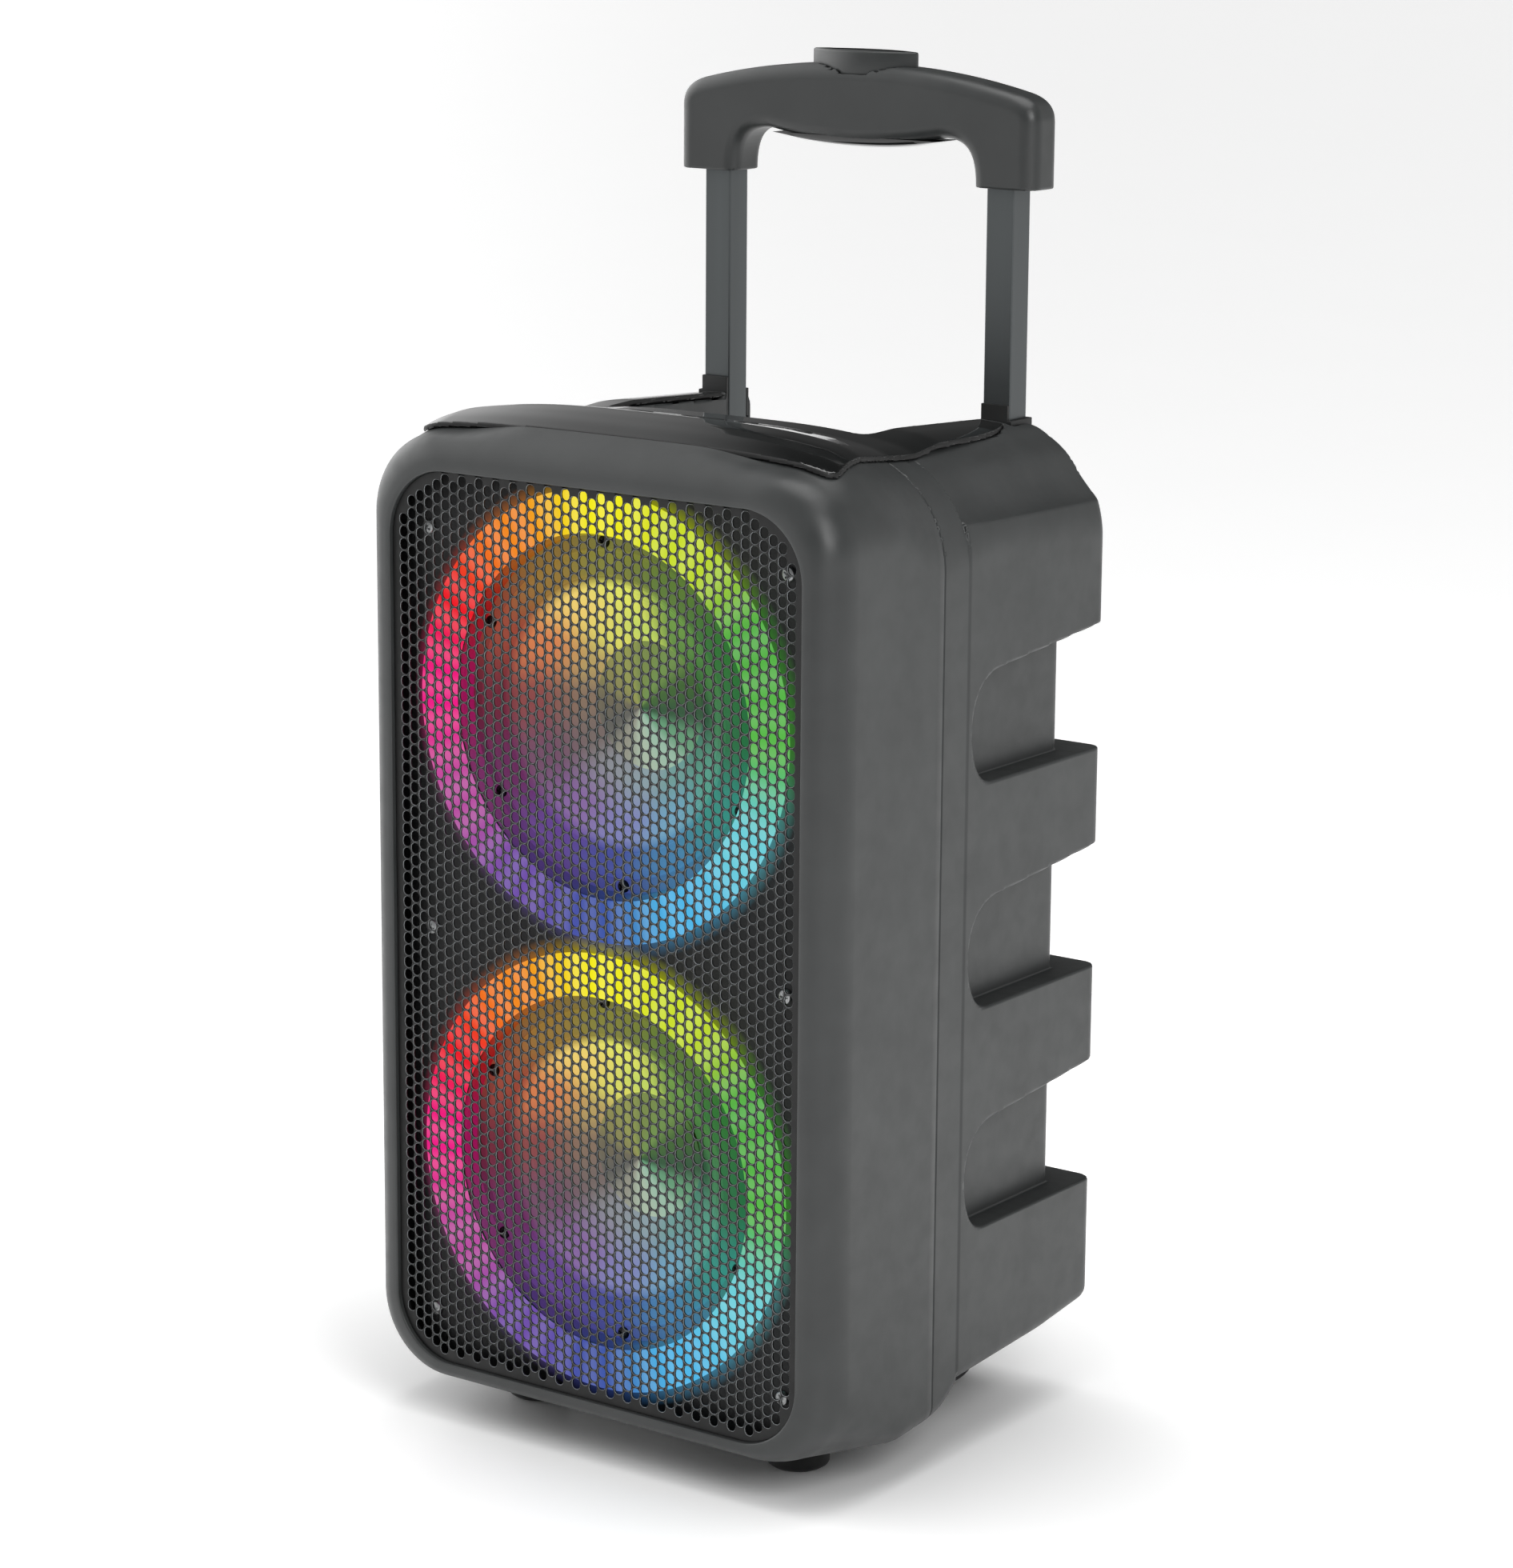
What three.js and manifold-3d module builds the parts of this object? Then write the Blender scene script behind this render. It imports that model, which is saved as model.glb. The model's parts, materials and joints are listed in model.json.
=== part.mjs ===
// A tall two-woofer party speaker with light rings, a trolley handle and rear wheels.
// Units are millimetres. X is to the listener's right, Y points to the back, Z is up.
// The origin is on the floor, under the middle of the cabinet.

import * as THREE from 'three';
import { mergeVertices } from 'three/addons/utils/BufferGeometryUtils.js';
import Module from 'manifold-3d';

const wasm = await Module();
wasm.setup();

// ---------------------------------------------------------------- driving dimensions

const GAP = 0.3;                    // clearance kept between neighbouring solids
const HALF_WIDTH = 160;             // cabinet half width
const FRONT_Y = -136;               // foremost face of the bezel
const REAR_Y = 136;                 // rear face of the cabinet
const SPLIT_Y = -31;                // joint line between the front bezel and the rear shell
const RIM_END_Y = -6;               // rear end of the raised rim, where the shoulders start
const WALL = 3;                     // moulded wall thickness
const BEZEL_WALL = 4;

const OPENING = { halfWidth: 140, bottom: 36, top: 552, radius: 38 };
const GRILLE_Y = -133;              // front face of the grille
const GRILLE_THICKNESS = 1.2;
const LEDGE = 2;                    // width of the ledge that the grille rests on
const BAFFLE_FRONT_Y = -121.5;
const BAFFLE_REAR_Y = -105;

const WOOFER_Z = { upper: 425.5, lower: 167.2 };
const FLANGE_RADIUS = 99.3;
const RING_RADIUS = { inner: 101.5, outer: 125.3 };
const CONE_RADIUS = 76;
const CAP_RADIUS = 36;
const CONE_TRAVEL = 4;

const SEAT = 3.5;                   // depth of the seat that the top panel lies in
const PANEL_THICKNESS = 3.2;
const PANEL_FRONT_DEPTH = 23;       // distance from the front face to the top panel
const POCKET = { halfWidth: 87.7, front: -5, floor: 530, radius: 10 };
const SLOT_PITCH = 128.3;

const POST = { inner: 89, outer: 107, front: 112.7, rear: 130.2, bottom: 477, top: 737 };
const POST_WALL = 1.6;
const RAIL = { top: 526, bottom: 330, wall: 2 };
const GRIP = { halfWidth: 123, bottom: 701, front: 106.5, rear: 135.5 };
const PIN_Z = 483;

const BUTTON_X = [-72, -36, 0, 36, 72];
const BUTTON_Y = -42;
const BUTTON_RADIUS = 7;
const BUTTON_TILT = THREE.MathUtils.degToRad(9.5);

const FOOT = { x: 93, y: -65, radius: 18 };
const WHEEL = { x: 84, y: 97, radius: 28, halfWidth: 11 };
const REAR_RECESS = { halfWidth: 70, bottom: 345, top: 455, y: 121 };

// ---------------------------------------------------------------- materials

const finish = (color, roughness, metalness = 0) =>
  new THREE.MeshStandardMaterial({ color, roughness, metalness });

const shellPlastic = finish(0x2b2d2d, 0.45);
const glossPlastic = finish(0x101112, 0.12);
const handlePlastic = finish(0x3a3c3c, 0.4);
const postMetal = finish(0x3c3e3e, 0.35, 0.6);
const grilleMetal = finish(0x17181a, 0.45, 0.7);
const blackPlastic = finish(0x141516, 0.5);
const rubber = finish(0x161616, 0.8);
const steel = finish(0x8b8f92, 0.35, 0.9);
const paperCone = finish(0x1d1e20, 0.75);
const capPlastic = finish(0x232527, 0.3);
const spiderCloth = finish(0x8a6a35, 0.9);
const copper = finish(0xb0713a, 0.4, 0.8);
const magnetFerrite = finish(0x2c2c2e, 0.6);
const baffleBoard = finish(0x1a1a1b, 0.8);
const diffuser = finish(0xf3f1ea, 0.5);
const circuitBoard = finish(0x1f5a38, 0.5);
const batteryWrap = finish(0x2b5fa8, 0.45);

// ---------------------------------------------------------------- solid helpers

const group = new THREE.Group();

// Merge shared vertices, drop empty triangles and turn every face outwards.
function closed(geometry) {
  const bare = geometry.clone();
  bare.deleteAttribute('normal');
  bare.deleteAttribute('uv');
  const merged = mergeVertices(bare, 1e-3);
  const position = merged.attributes.position;
  const kept = [];
  let volume = 0;
  const [a, b, c] = [new THREE.Vector3(), new THREE.Vector3(), new THREE.Vector3()];
  for (let i = 0; i < merged.index.count; i += 3) {
    const corner = [0, 1, 2].map((k) => merged.index.getX(i + k));
    if (new Set(corner).size < 3) continue;
    a.fromBufferAttribute(position, corner[0]);
    b.fromBufferAttribute(position, corner[1]);
    c.fromBufferAttribute(position, corner[2]);
    volume += a.dot(b.cross(c));
    kept.push(corner);
  }
  const ordered = volume < 0 ? kept.map(([i, j, k]) => [i, k, j]) : kept;
  merged.setIndex(ordered.flat());
  return merged;
}

function solid(geometry) {
  const body = closed(geometry);
  const vertProperties = new Float32Array(body.attributes.position.array);
  const triVerts = new Uint32Array(body.index.array);
  return new wasm.Manifold(new wasm.Mesh({ numProp: 3, vertProperties, triVerts }));
}

function surface(body) {
  const { vertProperties, triVerts } = body.getMesh();
  const geometry = new THREE.BufferGeometry();
  geometry.setAttribute('position', new THREE.BufferAttribute(new Float32Array(vertProperties), 3));
  geometry.setIndex(Array.from(triVerts));
  return geometry;
}

const cut = (body, ...tools) => tools.reduce((left, tool) => left.subtract(tool), body);
const join = (body, ...more) => more.reduce((sum, extra) => sum.add(extra), body);

function add(name, shape, material) {
  const geometry = shape instanceof THREE.BufferGeometry ? closed(shape) : surface(shape);
  geometry.computeVertexNormals();
  const mesh = new THREE.Mesh(geometry, material);
  mesh.name = name;
  group.add(mesh);
  return mesh;
}

// A box given by its lowest and highest corner.
function box(low, high) {
  const size = high.map((value, axis) => value - low[axis]);
  const middle = high.map((value, axis) => (value + low[axis]) / 2);
  return new THREE.BoxGeometry(...size).translate(...middle);
}

// A revolved body on an axis along Y; the profile holds [radius, y] pairs.
function turned(profile, { x = 0, z = 0, segments = 40 } = {}) {
  const points = profile.map(([radius, y]) => new THREE.Vector2(radius, y));
  return new THREE.LatheGeometry(points, segments).translate(x, 0, z);
}

// A revolved body on an upright axis; the profile holds [radius, z] pairs.
function turnedUpright(profile, { x = 0, y = 0, segments = 32 } = {}) {
  const points = profile.map(([radius, z]) => new THREE.Vector2(radius, z));
  return new THREE.LatheGeometry(points, segments).rotateX(Math.PI / 2).translate(x, y, 0);
}

// A cylinder on an axis along X.
function rod(x0, x1, y, z, radius, segments = 24) {
  const shape = new THREE.CylinderGeometry(radius, radius, Math.abs(x1 - x0), segments);
  return shape.rotateZ(Math.PI / 2).translate((x0 + x1) / 2, y, z);
}

// An outline drawn in X and Z, extruded along Y.
function extrudeY(shape, y0, y1, options = {}) {
  const settings = { depth: y1 - y0, bevelEnabled: false, curveSegments: 8, ...options };
  return new THREE.ExtrudeGeometry(shape, settings).rotateX(Math.PI / 2).translate(0, y1, 0);
}

// An outline drawn in X and Y, extruded along Z.
function extrudeZ(shape, z0, z1, options = {}) {
  const settings = { depth: z1 - z0, bevelEnabled: false, curveSegments: 8, ...options };
  return new THREE.ExtrudeGeometry(shape, settings).translate(0, 0, z0);
}

// An outline drawn in Y and Z, extruded along X.
function extrudeX(shape, x0, x1) {
  const settings = { depth: x1 - x0, bevelEnabled: false, curveSegments: 5 };
  const turn = new THREE.Matrix4().makeBasis(
    new THREE.Vector3(0, 1, 0), new THREE.Vector3(0, 0, 1), new THREE.Vector3(1, 0, 0));
  return new THREE.ExtrudeGeometry(shape, settings).applyMatrix4(turn).translate(x0, 0, 0);
}

function outline(points) {
  return new THREE.Shape(points.map(([u, v]) => new THREE.Vector2(u, v)));
}

function roundedRectangle(left, right, bottom, top, radius) {
  const shape = new THREE.Shape();
  shape.moveTo(left + radius, bottom);
  shape.lineTo(right - radius, bottom);
  shape.absarc(right - radius, bottom + radius, radius, -Math.PI / 2, 0);
  shape.lineTo(right, top - radius);
  shape.absarc(right - radius, top - radius, radius, 0, Math.PI / 2);
  shape.lineTo(left + radius, top);
  shape.absarc(left + radius, top - radius, radius, Math.PI / 2, Math.PI);
  shape.lineTo(left, bottom + radius);
  shape.absarc(left + radius, bottom + radius, radius, Math.PI, Math.PI * 1.5);
  return shape;
}

// Skin a row of matching closed rings and cap both ends.
function loft(row) {
  const drawn = row[0].map((point) => new THREE.Vector2(point.x, point.z));
  const rings = THREE.ShapeUtils.area(drawn) > 0 ? row : row.map((ring) => [...ring].reverse());
  const count = rings[0].length;
  const position = rings.flat().flatMap((point) => [point.x, point.y, point.z]);
  const index = [];
  for (let ring = 0; ring + 1 < rings.length; ring += 1) {
    for (let i = 0; i < count; i += 1) {
      const j = (i + 1) % count;
      const [near, far] = [ring * count, (ring + 1) * count];
      index.push(near + i, near + j, far + j, near + i, far + j, far + i);
    }
  }
  const flat = rings[0].map((point) => new THREE.Vector2(point.x, point.z));
  const last = (rings.length - 1) * count;
  for (const [i, j, k] of THREE.ShapeUtils.triangulateShape(flat, [])) {
    index.push(i, k, j, last + i, last + j, last + k);
  }
  const geometry = new THREE.BufferGeometry();
  geometry.setAttribute('position', new THREE.Float32BufferAttribute(position, 3));
  geometry.setIndex(index);
  return geometry;
}

// Straight-line reading of a short table of [place, value] pairs.
function read(table, place) {
  if (place <= table[0][0]) return table[0][1];
  for (let i = 1; i < table.length; i += 1) {
    const [end, value] = table[i];
    const [start, before] = table[i - 1];
    if (place <= end) return before + ((value - before) * (place - start)) / (end - start);
  }
  return table[table.length - 1][1];
}

const mirrored = (body) => body.mirror([1, 0, 0]);

// ---------------------------------------------------------------- cabinet surface

// How far a quarter ellipse has dropped, reach mm before its end.
const roundOff = (drop, reach, distance) =>
  distance >= reach ? 0 : drop * (1 - Math.sqrt(1 - ((reach - distance) / reach) ** 2));

const DECK_HEIGHT = [
  [23, 578.4], [33, 583], [48, 586.5], [63, 586.5], [83, 583.2],
  [105, 579.5], [133, 578], [163, 577], [240, 573], [272, 571],
];
const DECK_CROWN = [[0, 1], [23, 3.5], [48, 6], [105, 9.5], [130, 9.5], [156, 4]];
const TOP_RADIUS = [[0, 42], [23, 44], [48, 50], [105, 62]];
const BOTTOM_HEIGHT = [
  [20, 24], [73, 24], [105, 27], [117, 30], [129.9, 39], [130.1, 43], [220, 49], [272, 56],
];
const BOTTOM_RADIUS = [[0, 42], [8, 46], [20, 45], [75, 11], [272, 9]];
const CROWN_WIDTH = 122.5;
const ARC_END = THREE.MathUtils.degToRad(67);

// Height of the top surface at x, depth mm behind the front face.
function deck(x, depth) {
  const middle = depth < PANEL_FRONT_DEPTH
    ? 582 - roundOff(26, 47, depth)
    : read(DECK_HEIGHT, depth);
  return middle - read(DECK_CROWN, depth) * (Math.abs(x) / CROWN_WIDTH) ** 3.5;
}

// One cross-section of the cabinet at y, drawn inset mm inside its outer surface. Up to the rim's
// end its top lies lower than the panel.
function section(y, inset) {
  const depth = y - FRONT_Y;
  const rear = roundOff(9, 9, REAR_Y - y);
  const width = HALF_WIDTH - roundOff(17, 24, depth) - rear - inset;
  const floor = read(BOTTOM_HEIGHT, depth) + roundOff(9, 18, depth) + rear + inset;
  const topRadius = Math.max(read(TOP_RADIUS, depth) - inset - rear, 20);
  const bottomRadius = Math.max(read(BOTTOM_RADIUS, depth) - inset - rear, 2);
  const lowered = depth > PANEL_FRONT_DEPTH + 0.1 && (y < RIM_END_Y || inset > 0);
  const seat = lowered ? SEAT : 0;
  const top = (x) => deck(x, depth) - seat - rear - inset;

  const half = [[0, floor]];
  for (let i = 0; i <= 4; i += 1) {
    const angle = -Math.PI / 2 + (i / 4) * (Math.PI / 2);
    const x = width - bottomRadius + bottomRadius * Math.cos(angle);
    half.push([x, floor + bottomRadius + bottomRadius * Math.sin(angle)]);
  }
  const shoulderX = width - topRadius + topRadius * Math.cos(ARC_END);
  const arcZ = top(shoulderX) - topRadius * Math.sin(ARC_END);
  for (let i = 0; i <= 5; i += 1) {
    const angle = (i / 5) * ARC_END;
    half.push([width - topRadius + topRadius * Math.cos(angle), arcZ + topRadius * Math.sin(angle)]);
  }
  for (let i = 2; i >= 1; i -= 1) {
    half.push([(shoulderX * i) / 3, top((shoulderX * i) / 3)]);
  }
  half.push([0, top(0)]);
  const other = half.slice(1, -1).reverse().map(([x, z]) => [-x, z]);
  return [...half, ...other].map(([x, z]) => new THREE.Vector3(x, y, z));
}

// The cabinet's full form between the given cross-sections.
const cabinet = (stations, inset = 0) => solid(loft(stations.map((y) => section(y, inset))));

// Height of the top panel's surface, which follows the shoulder beyond the crown.
function panelLevel(x, depth) {
  const radius = read(TOP_RADIUS, depth);
  const centre = HALF_WIDTH - roundOff(17, 24, depth) - radius;
  const shoulderX = centre + radius * Math.cos(ARC_END);
  if (Math.abs(x) <= shoulderX) return deck(x, depth);
  const rise = Math.sqrt(radius ** 2 - (Math.abs(x) - centre) ** 2);
  return deck(shoulderX, depth) - radius * Math.sin(ARC_END) + rise;
}

// A slab between two offsets from the panel's surface.
function topSlab(above, below) {
  const across = [-145, -140, -134, -128, -120, -95, 0, 95, 120, 128, 134, 140, 145];
  const along = [22.8, 33, 48, 63, 83, 105, 133, 163, 246];
  const rings = along.map((depth) => {
    const level = across.map((x) => new THREE.Vector3(x, FRONT_Y + depth, panelLevel(x, depth)));
    const upper = level.map((point) => point.clone().setZ(point.z + above));
    const lower = level.map((point) => point.clone().setZ(point.z - below)).reverse();
    return [...lower, ...upper];
  });
  return solid(loft(rings));
}

// The right half of the top panel's outer plan, grown outwards.
function panelEdge(shape, grow) {
  shape.lineTo(126, -112.4 - grow);
  shape.quadraticCurveTo(141 + grow, -111 - grow, 140 + grow, -101);
  shape.lineTo(122 + grow, -31);
  shape.lineTo(123 + grow, -6);
  shape.lineTo(120 + grow, 50);
  shape.quadraticCurveTo(117 + grow, 92, 106 + grow, 107 + grow);
}

// The seat that the panel is let into, cut a little deeper than the panel.
function panelSeat() {
  const half = new THREE.Shape();
  half.moveTo(-0.5, -112.4 - GAP);
  panelEdge(half, GAP);
  half.lineTo(-0.5, 107 + GAP);
  const right = solid(extrudeZ(half, 540, 640, { curveSegments: 4 }));
  return topSlab(30, SEAT + 0.25).intersect(join(right, mirrored(right)));
}

// ---------------------------------------------------------------- front bezel

const FRONT_STATIONS = [0, 2, 6, 12, 23].map((depth) => FRONT_Y + depth);
const BEZEL_TOP_STATIONS = [23.2, 33, 48, 63, 83].map((depth) => FRONT_Y + depth);

function openingCutter(grow, y0, y1) {
  const { halfWidth, bottom, top, radius } = OPENING;
  const shape = roundedRectangle(
    -halfWidth - grow, halfWidth + grow, bottom - grow, top + grow, radius + grow);
  return solid(extrudeY(shape, y0, y1));
}

// A tilted upright cylinder through the top surface at x, for a button or its hole.
function buttonCylinder(x, radius, top, bottom) {
  const shape = new THREE.CylinderGeometry(radius, radius, top - bottom, 18);
  shape.translate(0, (top + bottom) / 2, 0).rotateX(Math.PI / 2 - BUTTON_TILT);
  return shape.translate(x, BUTTON_Y, deck(x, BUTTON_Y - FRONT_Y));
}

function frontBezel() {
  const ledgeFront = GRILLE_Y + GRILLE_THICKNESS + GAP;
  const cavityFront = -129;
  const outer = cabinet([...FRONT_STATIONS, ...BEZEL_TOP_STATIONS, SPLIT_Y - GAP / 2]);
  const inner = cabinet(
    [cavityFront, -123, -113, -112.8, -103, -88, -73, SPLIT_Y + 5], BEZEL_WALL);
  const buttonHoles = BUTTON_X.map((x) => solid(buttonCylinder(x, BUTTON_RADIUS + 0.5, 8, -16)));
  return cut(outer, inner,
    panelSeat(),
    openingCutter(0, FRONT_Y - 5, ledgeFront),
    openingCutter(-LEDGE, FRONT_Y - 5, cavityFront + 1),
    ...buttonHoles);
}
add('front_bezel', frontBezel(), shellPlastic);

// ---------------------------------------------------------------- rear shell

// The scoop that lowers each rear shoulder, following an S-shaped profile.
function shoulderCutter(drop, shift) {
  const profile = new THREE.SplineCurve([
    [98, 575.5], [107, 572.5], [114, 569], [120, 564.3], [132, 554.9],
    [142, 541.3], [151, 533], [160, 529.5], [172, 528.5],
  ].map(([x, z]) => new THREE.Vector2(x - shift, z - drop)));
  const lower = profile.getPoints(11).map((point) => [point.x, point.y]);
  const ring = (y, sink) => [...lower, [172, 640], [98 - shift, 640]]
    .map(([x, z]) => new THREE.Vector3(x, y, z < 600 ? z - sink : z));
  return solid(loft([ring(RIM_END_Y, -2), ring(REAR_Y + 5, 2)]));
}

// One of the three deep slots that run along each side and round the rear corner.
function sideSlot(level, grow) {
  const z = 387 - level * SLOT_PITCH;
  const side = new THREE.Shape();
  side.moveTo(150, z - grow);
  side.lineTo(20, z - grow);
  side.bezierCurveTo(6 - grow, z - grow, -1 - grow, z + 14, -1 - grow, z + 30);
  side.bezierCurveTo(-1 - grow, z + 50, 10 - grow, z + 61 + grow, 26, z + 62.5 + grow);
  side.lineTo(150, z + 73.5 + grow);
  const plan = new THREE.Shape();
  plan.moveTo(175, -20);
  plan.lineTo(151 - grow, -20);
  plan.lineTo(145 - grow, 0);
  plan.lineTo(145 - grow, 104 - grow);
  plan.bezierCurveTo(145 - grow, 110 - grow, 142 - grow, 112 - grow, 136, 112 - grow);
  plan.lineTo(128 - grow, 113 - grow);
  plan.bezierCurveTo(119 - grow, 114, 115 - grow, 122, 115 - grow, 131);
  plan.lineTo(115 - grow, 140);
  plan.lineTo(175, 140);
  const planSolid = solid(extrudeZ(plan, z - 20, z + 90, { curveSegments: 3 }));
  return solid(extrudeX(side, 105, 170)).intersect(planSolid);
}

// The hand pocket between the posts, open at the top and the back.
function pocketCutter(grow) {
  const { halfWidth, front, floor, radius } = POCKET;
  const plan = roundedRectangle(
    -halfWidth - grow, halfWidth + grow, front - grow, 160, radius + grow);
  return solid(extrudeZ(plan, floor - grow, 640, { curveSegments: 4 }));
}

function postHole() {
  const { inner, outer, front, rear } = POST;
  const well = solid(box([inner - GAP, front - 2.8, 480], [outer + 3, rear + 2.6, 640]));
  const bevel = outline([[113.5, 620], [113.5, 569], [130.5, 547.5], [150, 547.5], [150, 620]]);
  return join(well, solid(extrudeX(bevel, 86, inner + 0.5)));
}

function rearRecess(grow) {
  const { halfWidth, bottom, top, y } = REAR_RECESS;
  const shape = roundedRectangle(
    -halfWidth - grow, halfWidth + grow, bottom - grow, top + grow, 6 + grow);
  return solid(extrudeY(shape, y - grow, REAR_Y + 10, { curveSegments: 3 }));
}

function wheelWell(side, grow) {
  const reach = WHEEL.halfWidth + 4 + grow;
  const x = side * WHEEL.x;
  return solid(rod(x - reach, x + reach, WHEEL.y, WHEEL.radius, WHEEL.radius + 4 + grow, 20));
}

const bothSides = (body) => [body, mirrored(body)];
const slots = (grow) => [0, 1, 2].flatMap((level) => bothSides(sideSlot(level, grow)));

function rearShell() {
  const stations = [-19, RIM_END_Y - 0.1, RIM_END_Y + 0.1, 27, 84, 104, 127, 131, 134.5];
  const outer = cabinet([SPLIT_Y + GAP / 2, ...stations, REAR_Y]);
  const cavity = cut(
    cabinet([SPLIT_Y - 5, -19, RIM_END_Y - 0.1, RIM_END_Y + 0.1, 27, 84, 104, REAR_Y - WALL], WALL),
    pocketCutter(WALL),
    rearRecess(WALL),
    wheelWell(-1, WALL),
    wheelWell(1, WALL),
    ...bothSides(shoulderCutter(WALL, 2)),
    ...slots(WALL));
  const plateHole = solid(box([-58, 110, 357], [58, 130, 443]));
  return cut(outer, cavity,
    panelSeat(),
    pocketCutter(0),
    rearRecess(0),
    plateHole,
    wheelWell(-1, 0),
    wheelWell(1, 0),
    ...bothSides(postHole()),
    ...bothSides(shoulderCutter(0, 0)),
    ...slots(0));
}
add('rear_shell', rearShell(), shellPlastic);

// ---------------------------------------------------------------- top panel and its buttons

function topPanel() {
  const half = new THREE.Shape();
  half.moveTo(-0.5, -112.4);
  panelEdge(half, 0);
  half.lineTo(89.2, 107);
  half.lineTo(89.2, 4);
  half.quadraticCurveTo(89.2, -6.5, 78.7, -6.5);
  half.lineTo(-0.5, -6.5);
  const right = solid(extrudeZ(half, 540, 640, { curveSegments: 4 }));
  const blank = topSlab(0, PANEL_THICKNESS).intersect(join(right, mirrored(right)));
  const holes = BUTTON_X.map((x) => solid(buttonCylinder(x, BUTTON_RADIUS + 0.4, 8, -16)));
  return cut(blank, ...holes);
}
add('top_panel', topPanel(), glossPlastic);

BUTTON_X.forEach((x, i) => {
  add(`top_button_${i + 1}`, buttonCylinder(x, BUTTON_RADIUS, 0.4, -12), blackPlastic);
});

function controlBoard() {
  const board = new THREE.BoxGeometry(176, 26, 1.6).rotateX(-BUTTON_TILT);
  return board.translate(0, BUTTON_Y - 2.6, deck(0, BUTTON_Y - FRONT_Y) - 17);
}
add('control_board', controlBoard(), circuitBoard);

// ---------------------------------------------------------------- grille, baffle and light rings

function grille() {
  const { halfWidth, bottom, top, radius } = OPENING;
  const shape = roundedRectangle(
    -halfWidth + GAP, halfWidth - GAP, bottom + GAP, top - GAP, radius - GAP);
  return extrudeY(shape, GRILLE_Y, GRILLE_Y + GRILLE_THICKNESS);
}
add('grille', grille(), grilleMetal);

const woofers = Object.entries(WOOFER_Z);

function baffle() {
  const blank = cabinet([BAFFLE_FRONT_Y, -118, -113.2, BAFFLE_REAR_Y], BEZEL_WALL + 4.2);
  const bores = woofers.flatMap(([, z]) => [
    solid(turned([[0, -130], [FLANGE_RADIUS + 0.5, -130], [FLANGE_RADIUS + 0.5, -109.2],
      [0, -109.2]], { z, segments: 32 })),
    solid(turned([[0, -112], [91, -112], [91, -95], [0, -95]], { z, segments: 24 })),
  ]);
  return cut(blank, ...bores);
}
add('baffle', baffle(), baffleBoard);

function lightRing(z) {
  const { inner, outer } = RING_RADIUS;
  const profile = [[inner, -124], [inner, -128], [outer - 2, -128], [outer, -126.5],
    [outer, -124], [inner, -124]];
  return turned(profile, { z, segments: 40 });
}

function lightBoard(z) {
  const { inner, outer } = RING_RADIUS;
  const profile = [[inner + 1, -122], [inner + 1, -123.6], [outer - 2, -123.6],
    [outer - 2, -122], [inner + 1, -122]];
  return turned(profile, { z, segments: 28 });
}

for (const [level, z] of woofers) {
  add(`${level}_light_ring`, lightRing(z), diffuser);
  add(`${level}_light_board`, lightBoard(z), circuitBoard);
}

// ---------------------------------------------------------------- woofers

function basket(z) {
  const profile = [[91.5, -112.9], [FLANGE_RADIUS, -112.9], [FLANGE_RADIUS, -109.6],
    [90.3, -109.6], [88, -100], [57, -64], [57, -60.5], [28, -60.5], [28, -63.5],
    [54, -63.5], [85, -101.5], [87.5, -109.6], [91.5, -111]];
  const frame = solid(turned([...profile, profile[0]], { z, segments: 20 }));
  const windows = [0, 1, 2, 3].map((i) => {
    const angle = (i / 4) * Math.PI * 2 + Math.PI / 4;
    const window = new THREE.BoxGeometry(60, 26, 60).translate(0, -82, 75);
    return solid(window.rotateY(angle).translate(0, 0, z));
  });
  return cut(frame, ...windows);
}

function magnet(z) {
  const profile = [[27.5, -60], [48, -60], [48, -55], [55, -55], [55, -37], [50, -37],
    [50, -32], [0, -32], [0, -64], [21.5, -64], [21.5, -37], [27.5, -37], [27.5, -60]];
  return turned(profile, { z, segments: 20 });
}

function surround(z) {
  const profile = [];
  const middle = (CONE_RADIUS + 90) / 2 + 0.6;
  for (let i = 0; i <= 4; i += 1) {
    const angle = Math.PI - (i / 4) * Math.PI;
    profile.push([middle + 7 * Math.cos(angle), -113.6 - 6.5 * Math.sin(angle)]);
  }
  for (let i = 4; i >= 0; i -= 1) {
    const angle = Math.PI - (i / 4) * Math.PI;
    profile.push([middle + 6 * Math.cos(angle), -112.6 - 5.5 * Math.sin(angle)]);
  }
  return turned([...profile, profile[0]], { z, segments: 24 });
}

function cone(z) {
  const profile = [[CONE_RADIUS, -113.4], [54, -96], [CAP_RADIUS - 0.6, -79], [26.5, -68],
    [25.3, -68], [CAP_RADIUS - 1.6, -77.5], [53.3, -94.4], [CONE_RADIUS, -111.8],
    [CONE_RADIUS, -113.4]];
  return turned(profile, { z, segments: 28 });
}

function dustCap(z) {
  const profile = [[0, -90]];
  const edge = THREE.MathUtils.degToRad(50);
  for (let i = 1; i <= 4; i += 1) {
    const angle = (i / 4) * edge;
    const rise = (8.5 * (1 - Math.cos(angle))) / (1 - Math.cos(edge));
    profile.push([(CAP_RADIUS * Math.sin(angle)) / Math.sin(edge), -90 + rise]);
  }
  profile.push([CAP_RADIUS - 1.4, -80.2], [20, -86.8], [0, -88.8]);
  return turned(profile, { z, segments: 28 });
}

function voiceCoil(z) {
  const profile = [[23.4, -67.4], [25, -67.4], [25, -46], [23.4, -46], [23.4, -67.4]];
  return turned(profile, { z, segments: 20 });
}

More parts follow.
